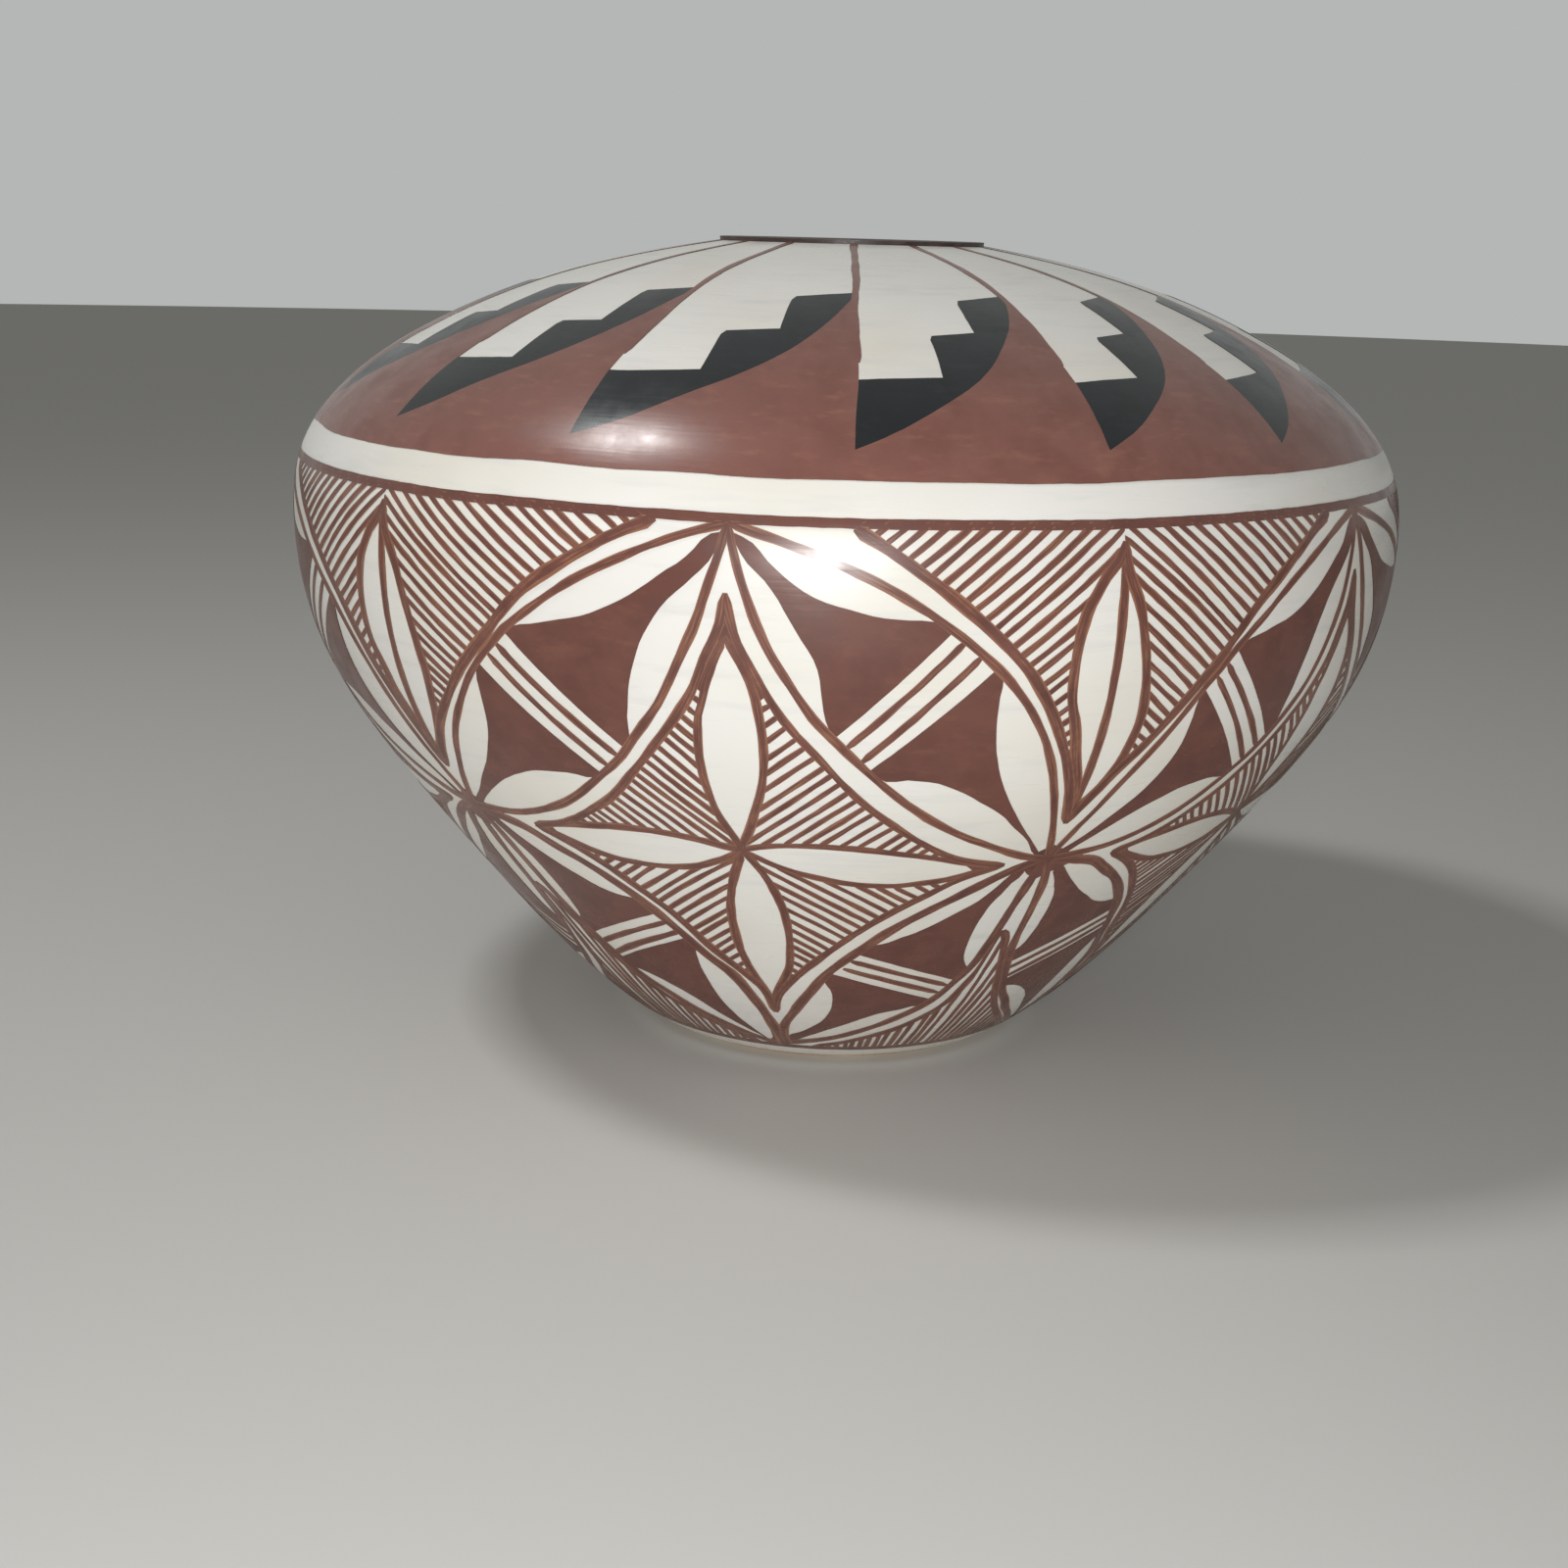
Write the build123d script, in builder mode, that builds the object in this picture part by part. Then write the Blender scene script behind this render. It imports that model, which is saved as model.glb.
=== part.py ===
"""A coiled pueblo jar: clay courses, a white slip coat and mineral paints laid on the slip.

The jar stands on z = 0 with its axis on Z. Sizes are in millimetres, angles in degrees.
The wall's line runs from the foot to the mouth, and every coat follows it.
"""
import math
import os

from build123d import *

# Clay wall, foot to mouth
foot_radius = 31.6
belly_radius = 93.1
belly_height = 90.0
mouth_radius = 22.2
mouth_height = 134.1
wall = 5.0
lip_rise = 0.9

# Coats, from the clay outwards
slip_coat = 0.4
paint_coat = 0.15
paint_gap = 0.05

# Shape of the wall between foot, belly and mouth: shares of the way out and of the way up
lower_wall_shares = [(0.208, 0.111), (0.500, 0.333), (0.757, 0.556), (0.945, 0.778)]
upper_wall_shares = [(0.979, 0.224), (0.880, 0.448), (0.676, 0.673), (0.415, 0.852)]
foot_lean_share = 1.65
mouth_fall_share = 0.16
wall_sample_count = 24

# Clay courses: where each lap joint starts on the outside, as a share of the wall's line
course_names = [
    "base_bowl", "wall_coil_1", "wall_coil_2", "wall_coil_3", "belly_coil",
    "turn_coil", "shoulder_coil_1", "shoulder_coil_2", "shoulder_coil_3", "rim_coil",
]
course_shares = [0.0, 0.13, 0.24, 0.35, 0.46, 0.56, 0.66, 0.76, 0.85, 0.93, 1.0]
lap_share = 0.02

# Slip: it starts above the resting face
slip_start_height = 1.6

# Shoulder paint: feathers between meridian lines, over a red-brown ground
feather_count = 15
feather_turn = -89.0
feather_line_width = 1.1
ground_height_share = 0.329
ground_end_share = 0.994
ground_height = belly_height + ground_height_share * (mouth_height - belly_height)
# A feather's outline in plan: how far round its sector, how far from the mouth to the ground's edge
tip_shares = (0.0, 0.925)
tip_curve_shares = (0.58, 0.775)
tip_top_shares = (1.0, 0.515)
step_shares = [(0.0, 0.76), (0.37, 0.76), (0.37, 0.645), (0.70, 0.645), (0.70, 0.515), (1.0, 0.515)]

# Net paint: a diamond net under a plain band, with a flower in each diamond
net_repeats = 5
net_turn = -99.0
plain_band = 5.9
net_top_height = ground_height - plain_band
net_foot_height = 4.4
net_line_width = 1.1
net_stripe = 2.7
edge_line_width = 1.3

# Points of the net in one half repeat: how far from the top node's meridian to the middle
# node's, how far from the foot line up to the top line
top_node_shares = (0.0, 1.0)
middle_node_shares = (1.0, 0.465)
foot_node_shares = (0.0, 0.0)
flower_shares = (0.0, 0.475)
upper_outer_shares = (0.66, 0.795)
upper_inner_shares = (0.285, 0.665)
lower_inner_shares = (0.42, 0.315)
lower_outer_shares = (0.82, 0.175)
flower_top_shares = (0.0, 0.90)
flower_foot_shares = (0.0, 0.10)
flower_side_shares = (0.78, 0.47)
petal_width_share = 0.085
petal_height_share = 0.05
leaf_shares = [(1.0, 0.99), (0.84, 0.77), (1.0, 0.53)]
# Solid fields inside the crossing bands: two far corners and the apex, with each side's middle
upper_field_shares = [(0.56, 0.86), (0.30, 0.71), (0.06, 0.955)]
upper_field_bow_shares = [(0.27, 0.855), (0.30, 0.93)]
upper_end_field_shares = [(0.70, 0.80), (0.36, 0.665), (0.80, 0.60)]
upper_end_field_bow_shares = [(0.60, 0.655), (0.715, 0.70)]
lower_field_shares = [(0.86, 0.245), (0.34, 0.27), (0.80, 0.40)]
lower_field_bow_shares = [(0.60, 0.36), (0.86, 0.33)]
lower_end_field_shares = [(0.78, 0.20), (0.28, 0.225), (0.14, 0.06)]
lower_end_field_bow_shares = [(0.265, 0.13), (0.42, 0.12)]
edge_lines = [
    (top_node_shares, upper_outer_shares, middle_node_shares),
    (top_node_shares, upper_inner_shares, middle_node_shares),
    (middle_node_shares, lower_inner_shares, foot_node_shares),
    (middle_node_shares, lower_outer_shares, foot_node_shares),
]
stripe_shares = [[(0.645, 0.825), (0.345, 0.685)], [(0.82, 0.225), (0.31, 0.25)]]


def turned_plane(angle: float) -> Plane:
    """Upright plane through the axis, its local x pointing outwards at the given angle."""
    turn = math.radians(angle)
    return Plane(
        origin=(0, 0, 0),
        x_dir=(math.cos(turn), math.sin(turn), 0),
        z_dir=(math.sin(turn), -math.cos(turn), 0),
    )


def facing_plane(angle: float) -> Plane:
    """Upright plane through the axis that faces outwards at the given angle."""
    turn = math.radians(angle)
    return Plane(
        origin=(0, 0, 0),
        x_dir=(-math.sin(turn), math.cos(turn), 0),
        z_dir=(math.cos(turn), math.sin(turn), 0),
    )


def wall_guide() -> Edge:
    """The wall's outer line from the foot's edge over the belly to the mouth."""
    points = [(foot_radius, 0)]
    for out_share, up_share in lower_wall_shares:
        points.append((foot_radius + out_share * (belly_radius - foot_radius), up_share * belly_height))
    points.append((belly_radius, belly_height))
    for out_share, up_share in upper_wall_shares:
        points.append((
            mouth_radius + out_share * (belly_radius - mouth_radius),
            belly_height + up_share * (mouth_height - belly_height),
        ))
    points.append((mouth_radius, mouth_height))
    return Edge.make_spline(
        [Vector(*point) for point in points],
        tangents=[Vector(foot_lean_share, 1), Vector(-1, mouth_fall_share)],
    )


def line_outside(distance: float) -> Edge:
    """The wall's line moved outwards by a distance, or inwards if it is negative."""
    points = []
    for index in range(wall_sample_count + 1):
        share = index / wall_sample_count
        along = guide % share
        points.append(guide @ share + Vector(along.Y, -along.X) * distance)
    return Edge.make_spline(points, tangents=[guide % 0, guide % 1])


def share_at_height(line: Edge, height: float) -> float:
    """The share of a wall line at which it reaches a height."""
    low, high = 0.0, 1.0
    for _ in range(40):
        middle = (low + high) / 2
        if (line @ middle).Y < height:
            low = middle
        else:
            high = middle
    return low


def ring_section(outer: Edge, inner: Edge, outer_ends: tuple, inner_ends: tuple) -> Sketch:
    """The face between a stretch of one wall line and a stretch of another."""
    with BuildSketch() as section:
        with BuildLine():
            outside = outer.trim(*outer_ends)
            inside = inner.trim(*inner_ends)
            add([outside, inside])
            Line(outside @ 1, inside @ 1)
            Line(outside @ 0, inside @ 0)
        make_face()
    return section.sketch


def film(low: float, high: float, start: float, sweep: float) -> Part:
    """A coat of paint on the slip, from one share of the line to another, over a turn about the axis."""
    with BuildPart() as coat:
        with BuildSketch(turned_plane(start)):
            add(ring_section(paint_face, paint_back, (low, high), (low, high)))
        revolve(axis=Axis.Z, revolution_arc=sweep)
    return coat.part


def finish(part: Part, name: str) -> None:
    """Label a finished piece and write it."""
    part.label = name
    export_step(part, f"parts/{name}.step")


# Wall lines, from the cavity outwards
guide = wall_guide()
cavity = line_outside(-wall)
clay = line_outside(0)
slip_face = line_outside(slip_coat)
paint_back = line_outside(slip_coat + paint_gap)
paint_face = line_outside(slip_coat + paint_gap + paint_coat)
os.makedirs("parts", exist_ok=True)

# The lip: a low rise at the mouth, rounded over to the cavity's line
mouth_edge = clay @ 1
cavity_edge = cavity @ 1
lip_top = mouth_edge + Vector(0, lip_rise)
lip_middle = (lip_top + cavity_edge) / 2
lip_radius = (lip_top - cavity_edge).length / 2
lip_nose = lip_middle - Vector(lip_radius, 0)


def base_section() -> Sketch:
    """The moulded base: a flat floor on the foot, and the start of the wall."""
    with BuildSketch() as section:
        with BuildLine():
            outside = clay.trim(0, course_shares[1])
            inside = cavity.trim(0, course_shares[1] - lap_share)
            add([outside, inside])
            Line(outside @ 1, inside @ 1)
            Polyline(outside @ 0, (0, 0), (0, (inside @ 0).Y), inside @ 0)
        make_face()
    return section.sketch


def rim_section() -> Sketch:
    """The last course, which ends in the lip."""
    with BuildSketch() as section:
        with BuildLine():
            outside = clay.trim(course_shares[-2], 1)
            inside = cavity.trim(course_shares[-2] - lap_share, 1)
            add([outside, inside])
            Line(outside @ 0, inside @ 0)
            Line(mouth_edge, lip_top)
            ThreePointArc(lip_top, lip_nose, cavity_edge)
        make_face()
    return section.sketch


# Clay courses, each lapped inside the one below
for index, name in enumerate(course_names):
    with BuildPart() as course:
        with BuildSketch(Plane.XZ):
            if index == 0:
                add(base_section())
            elif name == course_names[-1]:
                add(rim_section())
            else:
                ends = course_shares[index:index + 2]
                add(ring_section(clay, cavity, ends, [share - lap_share for share in ends]))
        revolve(axis=Axis.Z)
    finish(course.part, name)

# White slip over the outside, from just above the foot to the lip
with BuildPart() as white_slip:
    with BuildSketch(Plane.XZ):
        add(ring_section(
            slip_face, clay,
            (share_at_height(slip_face, slip_start_height), 1),
            (share_at_height(clay, slip_start_height), 1),
        ))
    revolve(axis=Axis.Z)
finish(white_slip.part, "white_slip")

# Dark rim paint, round the lip from the slip's end to the cavity
with BuildPart() as rim_line:
    with BuildSketch(Plane.XZ):
        with BuildLine():
            Polyline(slip_face @ 1, mouth_edge, lip_top)
            ThreePointArc(lip_top, lip_nose, cavity_edge)
            Line(cavity_edge, cavity_edge - Vector(0, paint_coat))
            ThreePointArc(
                cavity_edge - Vector(0, paint_coat),
                lip_nose - Vector(paint_coat, 0),
                lip_top + Vector(paint_coat, paint_coat),
            )
            Line(lip_top + Vector(paint_coat, paint_coat), slip_face @ 1)
        make_face()
    revolve(axis=Axis.Z)
finish(rim_line.part, "rim_line")


# Shoulder paint
feather_step = 360 / feather_count
ground_start_share = share_at_height(slip_face, ground_height)
ground_radius = (slip_face @ ground_start_share).X
plan_reach = belly_radius + wall


def plan_point(shares: tuple) -> Vector:
    """A point of the first feather in plan, from its shares round the sector and out."""
    turn = math.radians(feather_turn + shares[0] * feather_step)
    out = mouth_radius + shares[1] * (ground_radius - mouth_radius)
    aside = (1 - 2 * shares[0]) * feather_line_width / 2
    return Vector(
        out * math.cos(turn) - aside * math.sin(turn),
        out * math.sin(turn) + aside * math.cos(turn),
    )


def feather_outline() -> Sketch:
    """A whole feather in plan: straight sides from the mouth and a sickle end."""
    with BuildSketch() as outline:
        with BuildLine():
            Line(plan_point((0, 0)), plan_point(tip_shares))
            ThreePointArc(plan_point(tip_shares), plan_point(tip_curve_shares), plan_point(tip_top_shares))
            Polyline(plan_point(tip_top_shares), plan_point((1, 0)), plan_point((0, 0)))
        make_face()
    return outline.sketch


def feather_tip_outline() -> Sketch:
    """The dark end of a feather in plan, stepped inside and curved outside."""
    with BuildSketch() as outline:
        with BuildLine():
            Polyline(plan_point(tip_shares), *[plan_point(shares) for shares in step_shares])
            ThreePointArc(plan_point(tip_top_shares), plan_point(tip_curve_shares), plan_point(tip_shares))
        make_face()
    return outline.sketch


ground_film = film(ground_start_share, ground_end_share, 0, 360)
with BuildPart() as shoulder_ground:
    add(ground_film)
    for index in range(feather_count):
        with BuildSketch(Plane.XY.rotated((0, 0, index * feather_step))):
            add(feather_outline())
        extrude(amount=mouth_height + wall, mode=Mode.SUBTRACT)
finish(shoulder_ground.part, "shoulder_ground")

with BuildPart() as feather_tips:
    for index in range(feather_count):
        with BuildSketch(Plane.XY.rotated((0, 0, index * feather_step))):
            add(feather_tip_outline())
        extrude(amount=mouth_height + wall)
    add(ground_film, mode=Mode.INTERSECT)
finish(feather_tips.part, "feather_tips")


# Net paint
net_half = 180 / net_repeats
net_height = net_top_height - net_foot_height
net_plane = facing_plane(net_turn + net_half / 2)


def net_point(shares: tuple) -> Vector:
    """A point of the net on its facing plane, from its shares round and up."""
    height = net_foot_height + shares[1] * net_height
    radius = (slip_face @ share_at_height(slip_face, height)).X
    turn = math.radians((shares[0] - 1 / 2) * net_half)
    return Vector(radius * math.sin(turn), height)


def bowed(start: tuple, middle: tuple, end: tuple, inset: float = 0) -> None:
    """Draw a bowed brush line, its middle drawn in towards the chord by an inset."""
    first, last = net_point(start), net_point(end)
    chord = (last - first).normalized()
    through = net_point(middle)
    foot_on_chord = first + chord * (through - first).dot(chord)
    through = through - (through - foot_on_chord).normalized() * inset
    ThreePointArc(first, through, last)


def net_section() -> Sketch:
    """The brush lines of one half repeat."""
    with BuildSketch() as section:
        for start, middle, end in edge_lines:
            for inset in (0, net_stripe):
                with BuildLine():
                    bowed(start, middle, end, inset)
                trace(line_width=net_line_width)
        for start, middle, end in petal_lines():
            with BuildLine():
                bowed(start, middle, end)
            trace(line_width=net_line_width)
        for stripe in stripe_shares:
            with BuildLine():
                Line(net_point(stripe[0]), net_point(stripe[1]))
            trace(line_width=net_line_width)
    return section.sketch


def petal_lines() -> list:
    """Edges of the flower's half petals and of the leaf that hangs from the top line."""
    across, up = flower_shares
    lines = [tuple(leaf_shares)]
    for tip in (flower_top_shares, flower_foot_shares):
        lines.append((flower_shares, (petal_width_share, (up + tip[1]) / 2), tip))
    for side in (1, -1):
        middle = ((across + flower_side_shares[0]) / 2, up + side * petal_height_share)
        lines.append((flower_shares, middle, flower_side_shares))
    return lines


def field_section(corners: list, bows: list) -> Sketch:
    """A three-cornered field with one straight side and two hollow ones."""
    with BuildSketch() as section:
        with BuildLine():
            Line(net_point(corners[0]), net_point(corners[1]))
            ThreePointArc(net_point(corners[1]), net_point(bows[0]), net_point(corners[2]))
            ThreePointArc(net_point(corners[2]), net_point(bows[1]), net_point(corners[0]))
        make_face()
    return section.sketch


def around(piece: Part) -> list:
    """One half repeat's paint and its mirror image, set round the jar."""
    solids = []
    mirrored = piece.mirror(turned_plane(net_turn))
    for index in range(net_repeats):
        turn = Rot(0, 0, index * 2 * net_half)
        for half in (piece, mirrored):
            solids.extend((turn * half).solids())
    return solids


net_foot_share = share_at_height(slip_face, net_foot_height)
net_top_share = share_at_height(slip_face, net_top_height)
net_film = film(net_foot_share, net_top_share, net_turn, net_half)
with BuildPart() as half_net:
    with BuildSketch(net_plane):
        add(net_section())
    extrude(amount=plan_reach)
    add(net_film, mode=Mode.INTERSECT)
finish(Part(children=around(half_net.part)), "net_lines")

with BuildPart() as half_fields:
    with BuildSketch(net_plane):
        add(field_section(upper_field_shares, upper_field_bow_shares))
        add(field_section(upper_end_field_shares, upper_end_field_bow_shares))
        add(field_section(lower_field_shares, lower_field_bow_shares))
        add(field_section(lower_end_field_shares, lower_end_field_bow_shares))
    extrude(amount=plan_reach)
    add(net_film, mode=Mode.INTERSECT)
    add(half_net.part, mode=Mode.SUBTRACT)
finish(Part(children=around(half_fields.part)), "net_fields")

# Ring lines above and below the net
top_line_share = share_at_height(slip_face, net_top_height + edge_line_width)
foot_line_share = share_at_height(slip_face, net_foot_height - edge_line_width)
finish(film(net_top_share, top_line_share, 0, 360), "net_top_line")
finish(film(foot_line_share, net_foot_share, 0, 360), "net_foot_line")
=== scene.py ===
"""A coiled pueblo jar, dressed: stone-polished white slip under hand-painted mineral lines.

Lengths are in metres in the row frame. The jar's axis is Z and its front faces -Y. A place on the
wall is an angle round the jar from the front, and a length along the wall's line from the foot.
"""

import logging
import math
import random
from collections.abc import Callable, Sequence
from dataclasses import dataclass, field
from enum import Enum
from functools import cached_property

import bpy
import numpy as np
from mathutils import Matrix, Vector
from mathutils.geometry import delaunay_2d_cdt


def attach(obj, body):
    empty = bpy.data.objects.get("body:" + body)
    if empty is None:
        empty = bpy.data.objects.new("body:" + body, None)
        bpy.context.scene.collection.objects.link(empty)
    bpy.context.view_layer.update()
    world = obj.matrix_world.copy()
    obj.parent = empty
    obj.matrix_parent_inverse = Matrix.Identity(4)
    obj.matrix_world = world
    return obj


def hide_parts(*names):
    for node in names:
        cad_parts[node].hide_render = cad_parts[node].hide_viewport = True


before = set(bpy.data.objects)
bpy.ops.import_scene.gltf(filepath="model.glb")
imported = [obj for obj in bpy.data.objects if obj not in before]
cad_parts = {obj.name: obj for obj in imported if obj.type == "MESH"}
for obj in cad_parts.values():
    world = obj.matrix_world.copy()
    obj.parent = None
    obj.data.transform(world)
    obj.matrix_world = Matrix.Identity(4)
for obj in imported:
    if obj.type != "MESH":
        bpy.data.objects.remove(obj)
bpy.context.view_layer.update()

MM = 0.001
# How far a coat laps over its neighbour, or stops short of the lip
EDGE_LAP = 0.1 * MM
Points = Sequence[tuple[float, float]]
Colour = tuple[float, float, float, float]
Tree = bpy.types.NodeTree
Socket = bpy.types.NodeSocket
log = logging.getLogger("pueblo_jar")


def linear(code: str) -> Colour:
    """Turn an sRGB hex colour into linear values.

    Args:
        code: Six hex digits.

    Returns:
        Linear red, green and blue, and an alpha of one.
    """
    parts = [int(code[i:i + 2], 16) / 255 for i in (0, 2, 4)]
    red, green, blue = (p / 12.92 if p <= 0.04045 else ((p + 0.055) / 1.055) ** 2.4 for p in parts)
    return red, green, blue, 1.0


def add_node(tree: Tree, kind: str, sockets: dict | None = None, **settings: object) -> bpy.types.Node:
    """Add a node with its settings, input values and links.

    Args:
        tree: The node tree.
        kind: The node's type.
        sockets: Input name or index to a value, or to an output socket to link from.
        **settings: Properties of the node.

    Returns:
        The new node.
    """
    node = tree.nodes.new(kind)
    for name, value in settings.items():
        setattr(node, name, value)
    for key, value in (sockets or {}).items():
        if isinstance(value, bpy.types.NodeSocket):
            tree.links.new(value, node.inputs[key])
        else:
            node.inputs[key].default_value = value
    return node


def find_node(tree: Tree, kind: str) -> bpy.types.Node:
    """Find the tree's first node of a type."""
    return next(node for node in tree.nodes if node.type == kind)


def new_object(name: str, data: bpy.types.ID) -> bpy.types.Object:
    """Make an object from its data and put it in the scene."""
    made = bpy.data.objects.new(name, data)
    bpy.context.scene.collection.objects.link(made)
    return made


def smooth_through(
    points: Points, count: int, start: tuple | None = None, end: tuple | None = None,
) -> np.ndarray:
    """Sample a smooth line through points.

    Args:
        points: What the line goes through.
        count: How many samples to take.
        start: The line's direction at its start, or None to leave it free.
        end: The line's direction at its end, or None to leave it free.

    Returns:
        The samples, one row each.
    """
    fixed = np.asarray(points, float)
    steps = np.linalg.norm(np.diff(fixed, axis=0), axis=1)
    slopes = np.diff(fixed, axis=0) / steps[:, None]
    size = len(fixed)
    weights, wanted = np.zeros((size, size)), np.zeros((size, 2))
    for i in range(1, size - 1):
        weights[i, i - 1:i + 2] = steps[i], 2 * (steps[i - 1] + steps[i]), steps[i - 1]
        wanted[i] = 3 * (steps[i] * slopes[i - 1] + steps[i - 1] * slopes[i])
    for row, inner, slope, direction in ((0, 1, slopes[0], start), (-1, -2, slopes[-1], end)):
        if direction is None:
            weights[row, row], weights[row, inner], wanted[row] = 2, 1, 3 * slope
        else:
            weights[row, row], wanted[row] = 1, np.asarray(direction) / np.linalg.norm(direction)
    tangents = np.linalg.solve(weights, wanted)
    ends = np.concatenate([[0], np.cumsum(steps)])
    at = np.linspace(0, ends[-1], count)
    i = np.clip(np.searchsorted(ends, at, side="right") - 1, 0, size - 2)
    t = ((at - ends[i]) / steps[i])[:, None]
    step = steps[i][:, None]
    return (
        (1 + 2 * t) * (1 - t) ** 2 * fixed[i] + t * (1 - t) ** 2 * step * tangents[i]
        + t * t * (3 - 2 * t) * fixed[i + 1] - t * t * (1 - t) * step * tangents[i + 1]
    )


@dataclass(frozen=True)
class WallLine:
    """The line of the slip's face from the foot to the mouth."""

    foot_radius: float = 0.0316
    belly_radius: float = 0.0931
    belly_height: float = 0.0900
    mouth_radius: float = 0.0222
    mouth_height: float = 0.1341
    lower_shares: tuple = ((0.208, 0.111), (0.500, 0.333), (0.757, 0.556), (0.945, 0.778))
    upper_shares: tuple = ((0.979, 0.224), (0.880, 0.448), (0.676, 0.673), (0.415, 0.852))
    foot_lean: tuple = (1.65, 1.0)
    mouth_fall: tuple = (-1.0, 0.16)
    slip_coat: float = 0.0004
    sample_count: int = 801

    @cached_property
    def line(self) -> np.ndarray:
        """Rows of radius, height and length along the slip's face."""
        low, wide, top = self.foot_radius, self.belly_radius, self.mouth_radius
        rise = self.mouth_height - self.belly_height
        points = [(low, 0.0)]
        points += [(low + out * (wide - low), up * self.belly_height) for out, up in self.lower_shares]
        points += [(wide, self.belly_height)]
        points += [(top + out * (wide - top), self.belly_height + up * rise) for out, up in self.upper_shares]
        points += [(top, self.mouth_height)]
        clay = smooth_through(points, self.sample_count, self.foot_lean, self.mouth_fall)
        along = np.gradient(clay, axis=0)
        along /= np.linalg.norm(along, axis=1)[:, None]
        face = clay + self.slip_coat * np.column_stack([along[:, 1], -along[:, 0]])
        length = np.concatenate([[0], np.cumsum(np.linalg.norm(np.diff(face, axis=0), axis=1))])
        return np.column_stack([face, length])

    @property
    def length(self) -> float:
        """The whole length along the wall."""
        return float(self.line[-1, 2])

    def length_at(self, height: float) -> float:
        """The length along the wall at which it reaches a height."""
        return float(np.interp(height, self.line[:, 1], self.line[:, 2]))

    def radius_at(self, length: np.ndarray) -> np.ndarray:
        """The wall's radius at lengths along it."""
        return np.interp(length, self.line[:, 2], self.line[:, 0])

    def guide(self) -> bpy.types.Object:
        """Make the curve that the wrapping tree follows: radius on X, height on Z."""
        data = bpy.data.curves.new("wall_guide", "CURVE")
        data.dimensions = "3D"
        spline = data.splines.new("POLY")
        spline.points.add(self.sample_count - 1)
        for point, (radius, height, _) in zip(spline.points, self.line):
            point.co = (radius, 0.0, height, 1.0)
        return new_object("wall_guide", data)


class Piece(Enum):
    """The painted pieces, by the part's own names, and the hatching that this scene adds."""

    LINES = "net_lines"
    FIELDS = "net_fields"
    HATCHING = "net_hatching"
    TOP_LINE = "net_top_line"
    FOOT_LINE = "net_foot_line"
    GROUND = "shoulder_ground"
    TIPS = "feather_tips"


@dataclass
class Shape:
    """One outline laid on the flat sheet, in millimetres, and whose paint it is."""

    outline: np.ndarray
    piece: Piece | None = None
    rank: int = 0
    centre: np.ndarray | None = None
    half_width: float = 0.0
    tag: float = 0.0
    inside: int | None = None


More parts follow.
